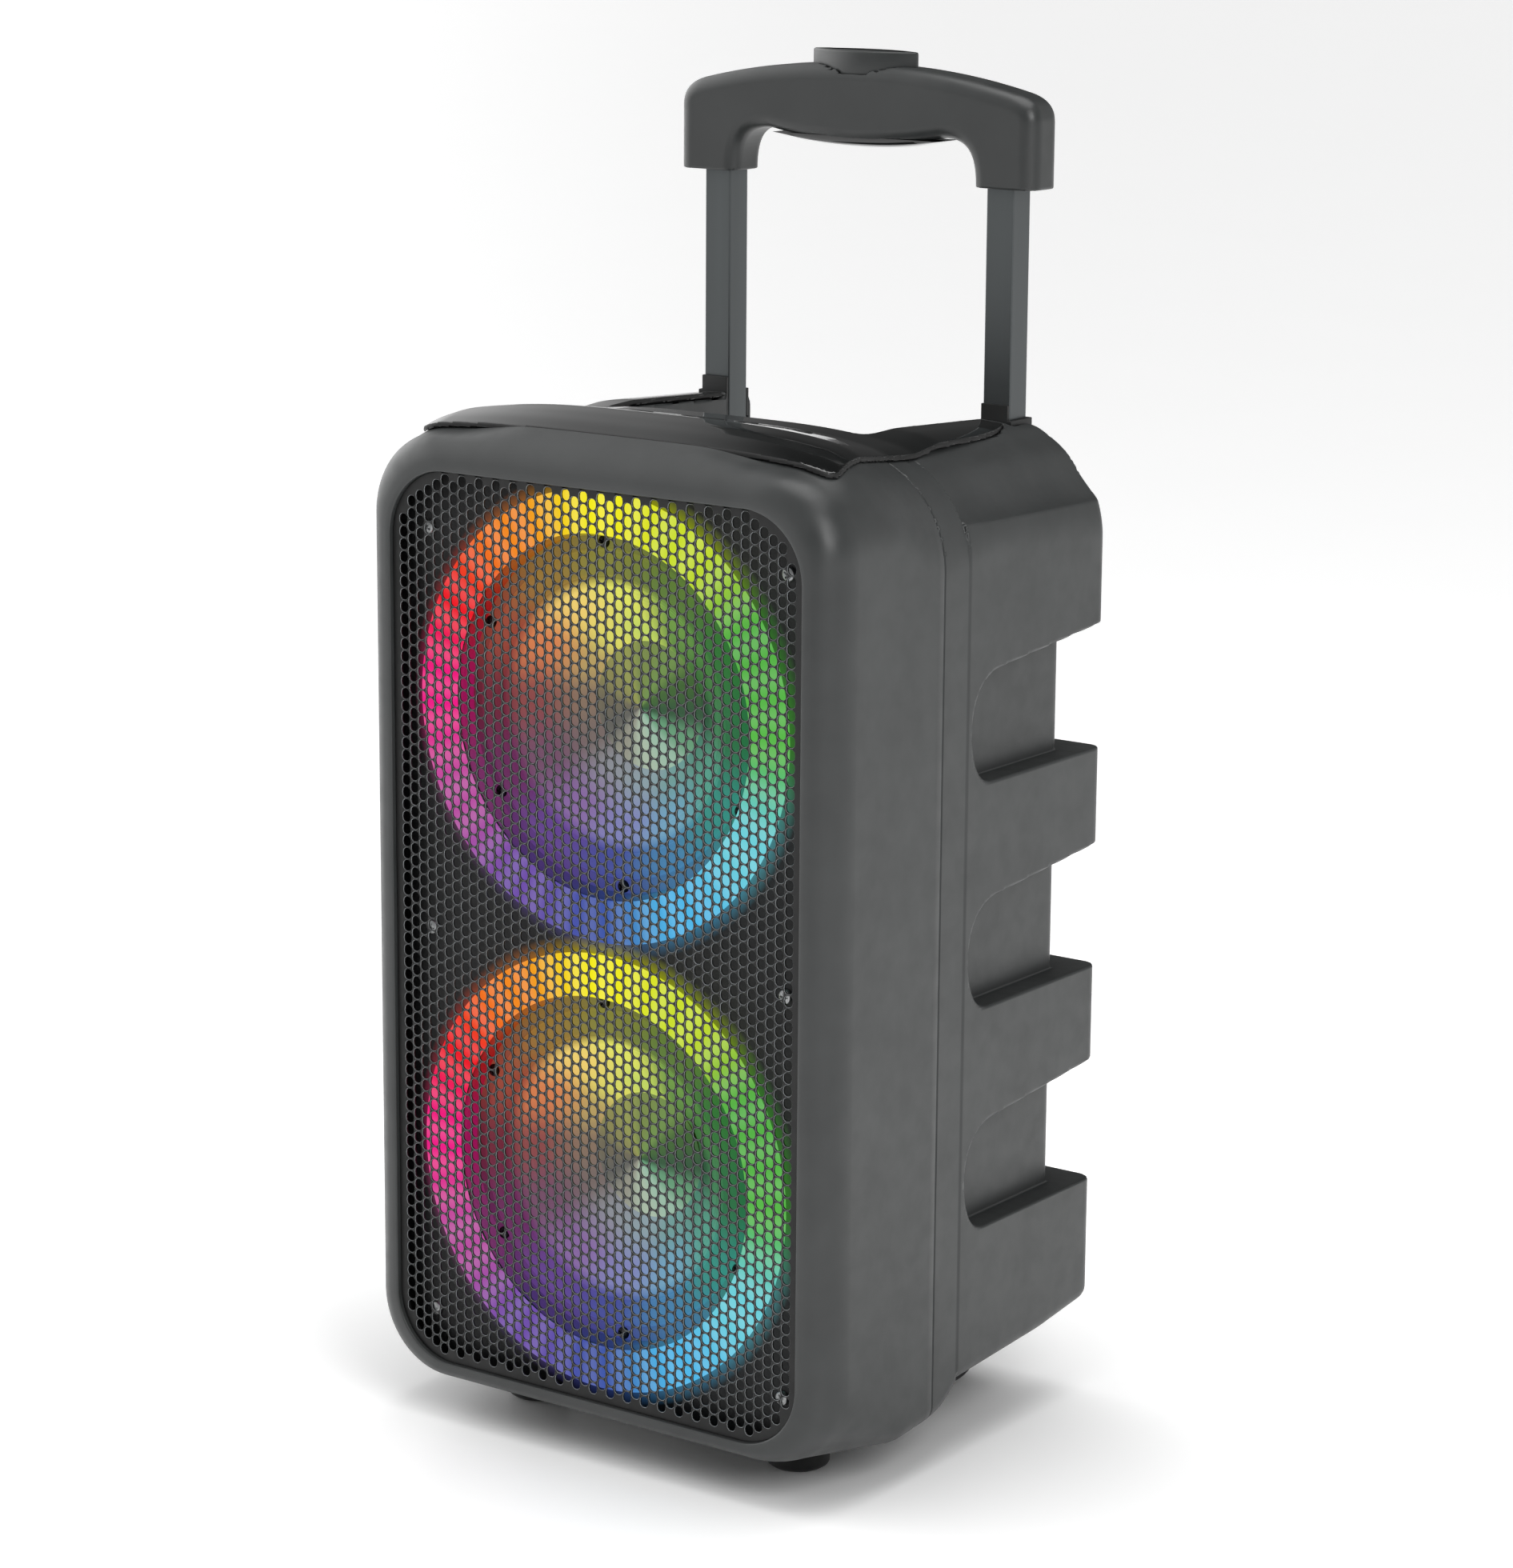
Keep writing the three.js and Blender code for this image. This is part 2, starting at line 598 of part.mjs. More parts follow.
function spider(z) {
  const profile = [];
  for (let i = 0; i <= 4; i += 1) {
    profile.push([28.4 + i * 5.3, -65.6 + (i % 2 === 0 ? 0 : 0.9)]);
  }
  for (let i = 4; i >= 0; i -= 1) {
    profile.push([28.4 + i * 5.3, -64.8 + (i % 2 === 0 ? 0 : 0.9)]);
  }
  return turned([...profile, profile[0]], { z, segments: 20 });
}

for (const [level, z] of woofers) {
  add(`${level}_basket`, basket(z), steel);
  add(`${level}_magnet`, magnet(z), magnetFerrite);
  add(`${level}_surround`, surround(z), rubber);
  add(`${level}_cone`, cone(z), paperCone);
  add(`${level}_dust_cap`, dustCap(z), capPlastic);
  add(`${level}_voice_coil`, voiceCoil(z), copper);
  add(`${level}_spider`, spider(z), spiderCloth);
}

// ---------------------------------------------------------------- electronics

function rearPlate() {
  const shape = roundedRectangle(-66, 66, 349, 451, 5);
  const plate = solid(extrudeY(shape, 121.4, 124.4));
  const holes = [
    solid(box([-43, 115, 366], [-19, 130, 384])),
    solid(turned([[0, 115], [5.4, 115], [5.4, 130], [0, 130]], { x: 4, z: 375, segments: 20 })),
    solid(box([22, 115, 371], [38, 130, 379])),
    ...[-30, 6].map((x) => solid(
      turned([[0, 115], [4, 115], [4, 130], [0, 130]], { x, z: 422, segments: 20 }))),
    solid(turned([[0, 115], [10.4, 115], [10.4, 130], [0, 130]], { x: 40, z: 422, segments: 24 })),
  ];
  return cut(plate, ...holes);
}
add('rear_plate', rearPlate(), glossPlastic);

function knob(x, z) {
  const profile = [[0, 112], [3, 112], [3, 125], [8.2, 125], [8.2, 132.5], [7.2, 134], [0, 134]];
  const body = solid(turned(profile, { x, z, segments: 20 }));
  return cut(body, solid(box([x - 0.6, 132.8, z + 1], [x + 0.6, 136, z + 9])));
}
add('microphone_knob', knob(-30, 422), blackPlastic);
add('echo_knob', knob(6, 422), blackPlastic);

function roundJack(x, z, outer, bore) {
  const profile = [[bore, 125.5], [bore, 104], [outer, 104], [outer, 125.5], [bore, 125.5]];
  return turned(profile, { x, z, segments: 16 });
}
add('microphone_jack', roundJack(40, 422, 10, 3.3), blackPlastic);
add('audio_jack', roundJack(4, 375, 5, 1.8), blackPlastic);

function usbSocket() {
  return cut(solid(box([22.4, 108, 371.4], [37.6, 125.2, 378.6])),
    solid(box([24, 112, 372.6], [36, 130, 377.4])));
}
add('usb_socket', usbSocket(), steel);

function powerInlet() {
  return cut(solid(box([-42.6, 104, 366.4], [-19.4, 125.2, 383.6])),
    solid(box([-40, 110, 369], [-22, 130, 381])));
}
add('power_inlet', powerInlet(), blackPlastic);

function amplifierBoard() {
  const parts = [solid(box([-62, 93, 352], [62, 94.8, 448]))];
  for (const [x, z, radius] of [[-44, 372, 9], [-20, 372, 9], [4, 372, 9], [44, 432, 7]]) {
    parts.push(solid(turned([[0, 72], [radius, 72], [radius, 94], [0, 94]], { x, z, segments: 12 })));
  }
  parts.push(solid(box([-50, 84, 410], [-24, 94, 436])));
  return join(...parts);
}
add('amplifier_board', amplifierBoard(), circuitBoard);

function heatSink() {
  const parts = [solid(box([-12, 88, 398], [34, 92.6, 446]))];
  for (let i = 0; i < 7; i += 1) {
    parts.push(solid(box([-12 + i * 7.4, 66, 398], [-10.2 + i * 7.4, 90, 446])));
  }
  return join(...parts);
}
add('heat_sink', heatSink(), steel);

function batteryTray() {
  return cut(solid(box([-78, 50, 66], [78, 112, 118])), solid(box([-75, 53, 69], [75, 109, 130])));
}
add('battery_tray', batteryTray(), blackPlastic);

function batteryPack() {
  const cells = [];
  for (let i = 0; i < 6; i += 1) {
    const profile = [[0, 71], [9.2, 71], [9.2, 134], [0, 134]];
    cells.push(solid(turnedUpright(profile, { x: -45 + i * 18, y: 81, segments: 10 })));
  }
  return join(...cells, solid(box([-54, 71, 78], [54, 91, 84])));
}
add('battery_pack', batteryPack(), batteryWrap);

// ---------------------------------------------------------------- trolley handle

function post(side) {
  const { inner, outer, front, rear, bottom, top } = POST;
  const tube = cut(
    solid(box([inner, front, bottom], [outer, rear, top])),
    solid(box([inner + POST_WALL, front + POST_WALL, bottom - 5],
      [outer - POST_WALL, rear - POST_WALL, top + 5])),
    solid(rod(outer - 6, outer + 6, (front + rear) / 2, PIN_Z, 2.9, 16)));
  return side > 0 ? tube : mirrored(tube);
}

// A C-shaped guide; its open side lets the latch pin travel with the post.
function rail(side) {
  const { inner, outer, front, rear } = POST;
  const [room, wall] = [0.4, RAIL.wall];
  const channel = cut(
    solid(box([inner - room - wall, front - room - wall, RAIL.bottom],
      [outer + room + wall, rear + room + wall, RAIL.top])),
    solid(box([inner - room, front - room, RAIL.bottom - 5],
      [outer + room, rear + room, RAIL.top + 5])),
    solid(box([outer - 2, (front + rear) / 2 - 3.1, RAIL.bottom - 5],
      [outer + 8, (front + rear) / 2 + 3.1, RAIL.top + 5])));
  return side > 0 ? channel : mirrored(channel);
}

// A black bush round the post, with a taller lip at the front.
function collar(side) {
  const { inner, outer, front, rear } = POST;
  const ring = cut(
    join(solid(box([inner + 0.2, front - 2.4, 555], [outer + 2.6, rear + 2.2, 571.4])),
      solid(box([inner + 0.2, front - 2.4, 555], [outer, front - 0.4, 580]))),
    solid(box([inner - 5, front - 0.4, 540], [outer + 0.4, rear + 0.4, 600])));
  return side > 0 ? ring : mirrored(ring);
}

function gripShape() {
  const shape = new THREE.Shape();
  const { halfWidth, bottom } = GRIP;
  shape.moveTo(-halfWidth, bottom);
  shape.lineTo(-halfWidth, 738);
  shape.bezierCurveTo(-halfWidth, 748, -116, 752, -108, 754);
  shape.bezierCurveTo(-70, 763, -36, 766, 0, 766);
  shape.bezierCurveTo(36, 766, 70, 763, 108, 754);
  shape.bezierCurveTo(116, 752, halfWidth, 748, halfWidth, 738);
  shape.lineTo(halfWidth, bottom);
  shape.lineTo(82, bottom);
  shape.bezierCurveTo(82, 720, 76, 727, 60, 727);
  shape.bezierCurveTo(40, 723.5, 20, 721.6, 0, 721.6);
  shape.bezierCurveTo(-20, 721.6, -40, 723.5, -60, 727);
  shape.bezierCurveTo(-76, 727, -82, 720, -82, bottom);
  return shape;
}

// The lens-shaped plan of the release button, grown on all sides.
function lens(grow) {
  const shape = new THREE.Shape();
  const [reach, middle, bulge] = [35.5 + grow, 121, 12.5 + grow];
  shape.moveTo(-reach, middle + 1 + grow / 2);
  shape.lineTo(-reach, middle - 1 - grow / 2);
  shape.quadraticCurveTo(0, middle - 2 * bulge + 1, reach, middle - 1 - grow / 2);
  shape.lineTo(reach, middle + 1 + grow / 2);
  shape.quadraticCurveTo(0, middle + 2 * bulge - 1, -reach, middle + 1 + grow / 2);
  return shape;
}

function grip() {
  const { inner, outer, front, rear, top } = POST;
  const bevel = 5;
  const shape = gripShape();
  const body = solid(extrudeY(shape, GRIP.front + bevel, GRIP.rear - bevel, {
    bevelEnabled: true, bevelThickness: bevel, bevelSize: 4, bevelOffset: -4,
    bevelSegments: 2, curveSegments: 7,
  }));
  const socket = solid(box([inner - GAP, front - GAP, 690], [outer + GAP, rear + GAP, top + 1]));
  const crossWay = solid(box([-104, 116, 738], [104, 127, 750.5]));
  const buttonWell = solid(extrudeZ(lens(0.5), 744, 790));
  const padSeat = solid(box([-58, GRIP.front + 3, 700], [58, GRIP.rear - 3, 725.2]));
  return cut(body, ...bothSides(socket), crossWay, buttonWell, padSeat);
}

function gripPad() {
  const shape = new THREE.Shape();
  shape.moveTo(-57.6, 724.9);
  shape.lineTo(57.6, 724.9);
  shape.lineTo(57.6, 724.2);
  shape.bezierCurveTo(38, 720.4, 20, 718.8, 0, 718.8);
  shape.bezierCurveTo(-20, 718.8, -38, 720.4, -57.6, 724.2);
  return extrudeY(shape, GRIP.front + 3.4, GRIP.rear - 3.4);
}

function releaseButton() {
  const body = extrudeZ(lens(-1), 753, 772.5, {
    bevelEnabled: true, bevelThickness: 1, bevelSize: 1, bevelSegments: 2, curveSegments: 12,
  });
  return solid(body);
}

function releaseYoke() {
  const bar = solid(box([-100.5, 118.9, 742.6], [100.5, 124, 746.6]));
  const rods = [-1, 1].map((side) => solid(
    box([side * 98 - 2.5, 118.9, 492.5], [side * 98 + 2.5, 124, 746.6])));
  return join(bar, ...rods);
}

function latchPin(side) {
  const y = (POST.front + POST.rear) / 2;
  const pin = join(solid(rod(99, 110.4, y, PIN_Z, 2.5, 16)), solid(rod(97, 99.2, y, PIN_Z, 4.5, 16)));
  return side > 0 ? pin : mirrored(pin);
}

for (const [name, side] of [['left', -1], ['right', 1]]) {
  add(`${name}_post`, post(side), postMetal);
  add(`${name}_rail`, rail(side), steel);
  add(`${name}_collar`, collar(side), blackPlastic);
  add(`${name}_latch_pin`, latchPin(side), steel);
}
add('grip', grip(), handlePlastic);
add('grip_pad', gripPad(), rubber);
add('release_button', releaseButton(), handlePlastic);
add('release_yoke', releaseYoke(), blackPlastic);

// ---------------------------------------------------------------- feet and wheels

function foot(side) {
  const { x, y, radius } = FOOT;
  const profile = [[0, 0], [radius - 2, 0], [radius, 2], [radius, 8], [radius - 3, 23.6], [0, 23.6]];
  return turnedUpright(profile, { x: side * x, y, segments: 28 });
}

function wheel(side) {
  const { x, y, radius, halfWidth } = WHEEL;
  const profile = [[4.4, -8], [18, -6], [21, -halfWidth], [radius - 2.5, -halfWidth],
    [radius, -halfWidth + 3], [radius, halfWidth - 3], [radius - 2.5, halfWidth],
    [21, halfWidth], [18, 6], [4.4, 8], [4.4, -8]];
  const tyre = turned(profile, { segments: 24 });
  return tyre.rotateZ(Math.PI / 2).translate(side * x, y, radius);
}

function axle(side) {
  const { x, y, radius } = WHEEL;
  return rod(side * x - 15.6, side * x + 15.6, y, radius, 4, 20);
}

// A fork that hangs in the wheel well and carries the axle.
function wheelFork(side) {
  const { x, y, radius } = WHEEL;
  const middle = side * x;
  const arms = [-13.2, 13.2].map((offset) => solid(box(
    [middle + offset - 1.1, y - 8, radius - 8], [middle + offset + 1.1, y + 8, radius + 30.4])));
  const bridge = solid(box([middle - 14.3, y - 8, radius + 28.8], [middle + 14.3, y + 8, radius + 30.4]));
  return cut(join(bridge, ...arms), solid(rod(middle - 18, middle + 18, y, radius, 4.3, 20)));
}

for (const [name, side] of [['left', -1], ['right', 1]]) {
  add(`${name}_foot`, foot(side), rubber);
  add(`${name}_wheel`, wheel(side), rubber);
  add(`${name}_axle`, axle(side), steel);
  add(`${name}_fork`, wheelFork(side), blackPlastic);
}

export default group;
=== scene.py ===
"""The looks of a tall two-woofer party speaker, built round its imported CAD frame.

Shapes are worked out in millimetres and become metres when a mesh is made.
X points to the right, Y to the back and Z up; the origin is on the floor under the cabinet.
"""

import json
import math

import bmesh
import bpy
import numpy as np
from mathutils import Matrix, Vector


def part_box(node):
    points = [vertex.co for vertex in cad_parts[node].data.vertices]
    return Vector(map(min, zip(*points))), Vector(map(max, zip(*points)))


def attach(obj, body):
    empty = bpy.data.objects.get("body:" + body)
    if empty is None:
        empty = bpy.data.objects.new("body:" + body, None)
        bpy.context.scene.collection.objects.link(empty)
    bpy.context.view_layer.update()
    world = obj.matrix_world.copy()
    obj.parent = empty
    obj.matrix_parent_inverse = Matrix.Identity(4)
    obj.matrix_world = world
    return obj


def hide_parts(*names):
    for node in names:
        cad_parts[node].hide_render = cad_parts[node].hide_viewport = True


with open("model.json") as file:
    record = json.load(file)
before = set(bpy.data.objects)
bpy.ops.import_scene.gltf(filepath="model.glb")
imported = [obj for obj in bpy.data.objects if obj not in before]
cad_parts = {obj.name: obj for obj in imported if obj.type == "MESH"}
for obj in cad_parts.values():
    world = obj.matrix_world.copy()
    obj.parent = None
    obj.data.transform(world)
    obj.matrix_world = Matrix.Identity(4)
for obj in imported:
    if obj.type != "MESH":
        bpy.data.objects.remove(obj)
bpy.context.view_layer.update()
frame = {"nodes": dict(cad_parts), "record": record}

MM = 0.001
LEVELS = ("upper", "lower")
SIDES = ("left", "right")

# ---------------------------------------------------------------- sizes read from the frame


def box_mm(node):
    low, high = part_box(node)
    return np.array(low) / MM, np.array(high) / MM


def middle_mm(node):
    low, high = box_mm(node)
    return (low + high) / 2


BEZEL_LOW, BEZEL_HIGH = box_mm("front_bezel")
SHELL_LOW, SHELL_HIGH = box_mm("rear_shell")
GRILLE_LOW, GRILLE_HIGH = box_mm("grille")
FRONT, REAR = BEZEL_LOW[1], SHELL_HIGH[1]
HALF_WIDTH = SHELL_HIGH[0]
SPLIT = (BEZEL_HIGH[1] + SHELL_LOW[1]) / 2
SEAM = 0.1
RIM_END = SPLIT + 25
SEAT = 3.5
LOWERED = SEAT + 0.1
PANEL_DEPTH = 23
PANEL_THICKNESS = 3.2

GRILLE_GAP = 0.3
OPENING_HALF = GRILLE_HIGH[0] + GRILLE_GAP
OPENING_BOTTOM = GRILLE_LOW[2] - GRILLE_GAP
OPENING_TOP = GRILLE_HIGH[2] + GRILLE_GAP
OPENING_RADIUS = 38
GRILLE_FRONT, GRILLE_BACK = GRILLE_LOW[1], GRILLE_HIGH[1]

WOOFER_Z = {level: middle_mm(f"{level}_light_ring")[2] for level in LEVELS}
RING_OUTER = box_mm("upper_light_ring")[1][0]
RING_INNER = RING_OUTER - 23.8
FLANGE_RADIUS = box_mm("upper_basket")[1][0]
CONE_RADIUS = box_mm("upper_cone")[1][0]
CAP_RADIUS = box_mm("upper_dust_cap")[1][0]
BAFFLE_FRONT = box_mm("baffle")[0][1]

POCKET_HALF, POCKET_FRONT, POCKET_FLOOR, POCKET_RADIUS = 87.7, -5, 530, 10
SLOT_PITCH = 128.3
SLOT_TOP_LEVEL = 387

POST_LOW, POST_HIGH = box_mm("right_post")
GRIP_LOW, GRIP_HIGH = box_mm("grip")
GRIP_MIDDLE = (GRIP_LOW[1] + GRIP_HIGH[1]) / 2
GRIP_HALF_DEPTH = (GRIP_HIGH[1] - GRIP_LOW[1]) / 2

BODY_OF = {node: body
           for body, nodes in frame["record"]["behaviour"]["bodies"].items()
           for node in nodes}

# ---------------------------------------------------------------- curves and tables


def smoothstep(value):
    t = np.clip(value, 0, 1)
    return t * t * (3 - 2 * t)


def round_off(drop, reach, distance):
    """How far a quarter ellipse has dropped, reach mm before its end."""
    left = np.clip((reach - distance) / reach, 0, 1)
    return drop * (1 - np.sqrt(1 - left ** 2))


def blurred(values, cells):
    """Values with their corners rounded off over that many cells."""
    kernel = np.hanning(2 * cells + 1)
    padded = np.pad(values, cells, mode="edge")
    return np.convolve(padded, kernel / kernel.sum(), mode="valid")


def bezier(*points, steps=12):
    """Points on a Bezier curve with 3 or 4 control points, its first point left out."""
    degree = len(points) - 1
    t = np.linspace(0, 1, steps + 1)[1:, None]
    terms = [math.comb(degree, i) * t ** i * (1 - t) ** (degree - i) * np.array(p, float)
             for i, p in enumerate(points)]
    return list(map(tuple, sum(terms)))


def spline(points, steps):
    """Points on a Catmull-Rom curve through the given ones."""
    p = np.array([points[0], *points, points[-1]], float)
    made = [points[0]]
    for a, b, c, d in zip(p, p[1:], p[2:], p[3:]):
        for t in np.linspace(0, 1, steps + 1)[1:]:
            made.append(tuple(0.5 * (2 * b + (c - a) * t + (2 * a - 5 * b + 4 * c - d) * t * t
                                     + (3 * b - a - 3 * c + d) * t ** 3)))
    return made


# ---------------------------------------------------------------- the cabinet's form

DECK_HEIGHT = ((23, 578.4), (33, 583), (48, 586.5), (63, 586.5), (83, 583.2),
               (105, 579.5), (133, 578), (163, 577), (240, 573), (272, 571))
DECK_CROWN = ((0, 1), (23, 3.5), (48, 6), (105, 9.5), (130, 9.5), (156, 4))
TOP_RADIUS = ((0, 42), (23, 44), (48, 50), (105, 62))
BOTTOM_HEIGHT = ((20, 24), (73, 24), (105, 27), (117, 30), (130, 39))
REAR_BOTTOM = ((130, 43), (220, 49), (272, 56))
BOTTOM_RADIUS = ((0, 42), (8, 46), (20, 45), (75, 11), (272, 9))
CROWN_WIDTH = 122.5
CROWN_POWER = 3.5
TOP_FRONT_DROP, TOP_FRONT_REACH = 26, 47
SIDE_FRONT_DROP, SIDE_FRONT_REACH = 17, 24
BOTTOM_FRONT_DROP, BOTTOM_FRONT_REACH = 9, 18
REAR_RADIUS = 9

DEPTHS = np.arange(0, 280, 0.25)


def along_depth(table, cells=24):
    return blurred(np.interp(DEPTHS, *zip(*table)), cells)


def deck_middle_row():
    front = 582 - round_off(TOP_FRONT_DROP, TOP_FRONT_REACH, DEPTHS)
    row = np.where(DEPTHS < PANEL_DEPTH, front, np.interp(DEPTHS, *zip(*DECK_HEIGHT)))
    share = smoothstep((DEPTHS - 14) / 10)
    return row * (1 - share) + blurred(row, 30) * share


DECK_MIDDLE_ROW = deck_middle_row()
CROWN_ROW = along_depth(DECK_CROWN)
TOP_RADIUS_ROW = along_depth(TOP_RADIUS)
BOTTOM_ROW = along_depth(BOTTOM_HEIGHT) + round_off(BOTTOM_FRONT_DROP, BOTTOM_FRONT_REACH, DEPTHS)
REAR_BOTTOM_ROW = along_depth(REAR_BOTTOM)
WIDTH_ROW = HALF_WIDTH - round_off(SIDE_FRONT_DROP, SIDE_FRONT_REACH, DEPTHS)
BOTTOM_RADIUS_ROW = along_depth(BOTTOM_RADIUS)


def at_depth(row, depth):
    return np.interp(depth, DEPTHS, row)


def deck(x, depth):
    """Height of the gloss panel's surface at x, depth mm behind the front face."""
    crown = at_depth(CROWN_ROW, depth) * (np.abs(x) / CROWN_WIDTH) ** CROWN_POWER
    return at_depth(DECK_MIDDLE_ROW, depth) - crown


def deck_slope(x, depth):
    share = CROWN_POWER / CROWN_WIDTH * (np.abs(x) / CROWN_WIDTH) ** (CROWN_POWER - 1)
    return at_depth(CROWN_ROW, depth) * share


def lowering(x, depth):
    """How far the bezel's own top lies under the line of the gloss panel."""
    outside = smoothstep((np.abs(x) - 55) / 55)
    share = np.where(np.asarray(depth) > PANEL_DEPTH + 0.1, 1, outside)
    return LOWERED * share * smoothstep(np.asarray(depth) / PANEL_DEPTH)


def shoulder_rows():
    """Where each cross-section's shoulder arc has its centre, and the angle where it meets the top."""
    x = WIDTH_ROW - TOP_RADIUS_ROW
    end = np.full(len(DEPTHS), math.radians(72))
    for _ in range(12):
        end = math.pi / 2 - np.arctan(deck_slope(x + TOP_RADIUS_ROW * np.cos(end), DEPTHS))
    meeting = x + TOP_RADIUS_ROW * np.cos(end)
    top = deck(meeting, DEPTHS) - lowering(meeting, DEPTHS)
    return x, top - TOP_RADIUS_ROW * np.sin(end), end


SHOULDER_X_ROW, SHOULDER_Z_ROW, SHOULDER_END_ROW = shoulder_rows()


def panel_level(x, depth):
    """Height of the top panel's surface, which follows the shoulder beyond the crown."""
    radius = at_depth(TOP_RADIUS_ROW, depth)
    out = np.abs(x) - at_depth(SHOULDER_X_ROW, depth)
    rise = np.sqrt(np.maximum(radius ** 2 - out ** 2, 1))
    arc = at_depth(SHOULDER_Z_ROW, depth) + rise + LOWERED
    crowned = out <= radius * np.cos(at_depth(SHOULDER_END_ROW, depth))
    return np.where(crowned, deck(x, depth), arc)

# ---------------------------------------------------------------- solid fields

# A field is negative inside a body and grows like the distance to its surface outside.


def round_and(a, b, radius):
    """What both bodies share, its edge rounded to radius."""
    corner = np.hypot(np.maximum(a + radius, 0), np.maximum(b + radius, 0))
    return np.minimum(-radius, np.maximum(a, b)) + corner


def carve(body, tool, radius):
    return round_and(body, -tool, radius)


def block(point, low, high):
    """An upright box; None leaves a side open."""
    field = np.full_like(point[0], -1e3)
    for value, start, end in zip(point, low, high):
        if start is not None:
            field = np.maximum(field, start - value)
        if end is not None:
            field = np.maximum(field, value - end)
    return field


class Outline:
    """The distance to a closed outline, kept as a fine grid so that it is quick to read."""

    def __init__(self, points, margin=24, cell=0.5):
        p = np.array(points, float)
        self.low = p.min(0) - margin
        self.cell = cell
        count = np.ceil((p.max(0) + margin - self.low) / cell).astype(int) + 1
        u, v = np.meshgrid(*[self.low[k] + cell * np.arange(count[k]) for k in (0, 1)],
                           indexing="ij")
        best = np.full(u.shape, 1e9)
        inside = np.zeros(u.shape, bool)
        for (u0, v0), (u1, v1) in zip(p, np.roll(p, -1, 0)):
            du, dv = u1 - u0, v1 - v0
            t = np.clip(((u - u0) * du + (v - v0) * dv) / (du * du + dv * dv + 1e-12), 0, 1)
            best = np.minimum(best, np.hypot(u - u0 - t * du, v - v0 - t * dv))
            if dv:
                crossed = (v0 > v) != (v1 > v)
                inside ^= crossed & (u < u0 + (v - v0) * du / dv)
        self.grid = np.where(inside, -best, best)

    def __call__(self, u, v):
        last = np.array(self.grid.shape) - 1.001
        fu = np.clip((u - self.low[0]) / self.cell, 0, last[0])
        fv = np.clip((v - self.low[1]) / self.cell, 0, last[1])
        iu, iv = fu.astype(int), fv.astype(int)
        tu, tv = fu - iu, fv - iv
        near = self.grid[iu, iv] * (1 - tv) + self.grid[iu, iv + 1] * tv
        far = self.grid[iu + 1, iv] * (1 - tv) + self.grid[iu + 1, iv + 1] * tv
        return near * (1 - tu) + far * tu


def sample_field(field, low, high, step, block_cells=4):
    """Field values on a grid, worked out in full only in the blocks near the surface."""
    cells = np.ceil((np.array(high) - low) / step / block_cells).astype(int) * block_cells
    axes = [low[k] + step * np.arange(cells[k] + 1) for k in range(3)]
    centres = [axis[block_cells // 2::block_cells] for axis in axes]
    coarse = field(np.stack(np.meshgrid(*centres, indexing="ij")).reshape(3, -1))
    reach = step * block_cells * 0.9 + step
    values = np.empty([len(axis) for axis in axes], np.float32)
    shape = [len(axis) for axis in centres]
    spread = coarse.reshape(shape)
    for axis in range(3):
        spread = np.repeat(spread, block_cells, axis)
    values[...] = np.pad(spread, [(0, 1)] * 3, mode="edge")
    near = np.argwhere(np.abs(coarse.reshape(shape)) < reach) * block_cells
    offsets = np.stack(np.meshgrid(*[np.arange(block_cells + 1)] * 3, indexing="ij"), -1)
    offsets = offsets.reshape(-1, 3)
    for part in np.array_split(near, max(1, len(near) // 6000)):
        index = (part[:, None, :] + offsets[None]).reshape(-1, 3)
        point = np.stack([axes[k][index[:, k]] for k in range(3)])
        values[index[:, 0], index[:, 1], index[:, 2]] = field(point)
    return values, [axis[0] for axis in axes]


CORNERS = [(i, j, k) for i in (0, 1) for j in (0, 1) for k in (0, 1)]
EDGES = [(a, b) for a in range(8) for b in range(a + 1, 8)
         if sum(abs(p - q) for p, q in zip(CORNERS[a], CORNERS[b])) == 1]


def surface_net(values):
    """One vertex in each cell that the surface crosses, and a quad across each crossed grid edge."""
    inside = values < 0
    corner = [inside[i:inside.shape[0] - 1 + i, j:inside.shape[1] - 1 + j,
                     k:inside.shape[2] - 1 + k] for i, j, k in CORNERS]
    total = sum(c.astype(np.int8) for c in corner)
    mixed = (total > 0) & (total < 8)
    cells = np.argwhere(mixed)
    number = np.full(mixed.shape, -1, np.int64)
    number[mixed] = np.arange(len(cells))
    value = np.stack([values[cells[:, 0] + i, cells[:, 1] + j, cells[:, 2] + k]
                      for i, j, k in CORNERS], 1).astype(float)
    place = np.zeros((len(cells), 3))
    count = np.zeros(len(cells))
    for a, b in EDGES:
        va, vb = value[:, a], value[:, b]
        crossed = (va < 0) != (vb < 0)
        t = np.where(crossed, va / np.where(crossed, va - vb, 1), 0)[:, None]
        point = np.array(CORNERS[a]) * (1 - t) + np.array(CORNERS[b]) * t
        place += point * crossed[:, None]
        count += crossed
    place = cells + place / count[:, None]

    quads = []
    for axis in range(3):
        one, two = [k for k in range(3) if k != axis]
        low = [slice(1, -1)] * 3
        low[axis] = slice(0, -1)
        high = list(low)
        high[axis] = slice(1, None)
        start, end = inside[tuple(low)], inside[tuple(high)]
        at = np.argwhere(start != end)
        at[:, one] += 1
        at[:, two] += 1
        ring = []
        for back_one, back_two in ((1, 1), (0, 1), (0, 0), (1, 0)):
            cell = at.copy()
            cell[:, one] -= back_one
            cell[:, two] -= back_two
            ring.append(number[cell[:, 0], cell[:, 1], cell[:, 2]])
        face = np.stack(ring, 1)
        leaving = inside[at[:, 0], at[:, 1], at[:, 2]]
        flip = leaving if axis == 1 else ~leaving
        face[flip] = face[flip][:, ::-1]
        quads.append(face)
    return place, np.concatenate(quads)


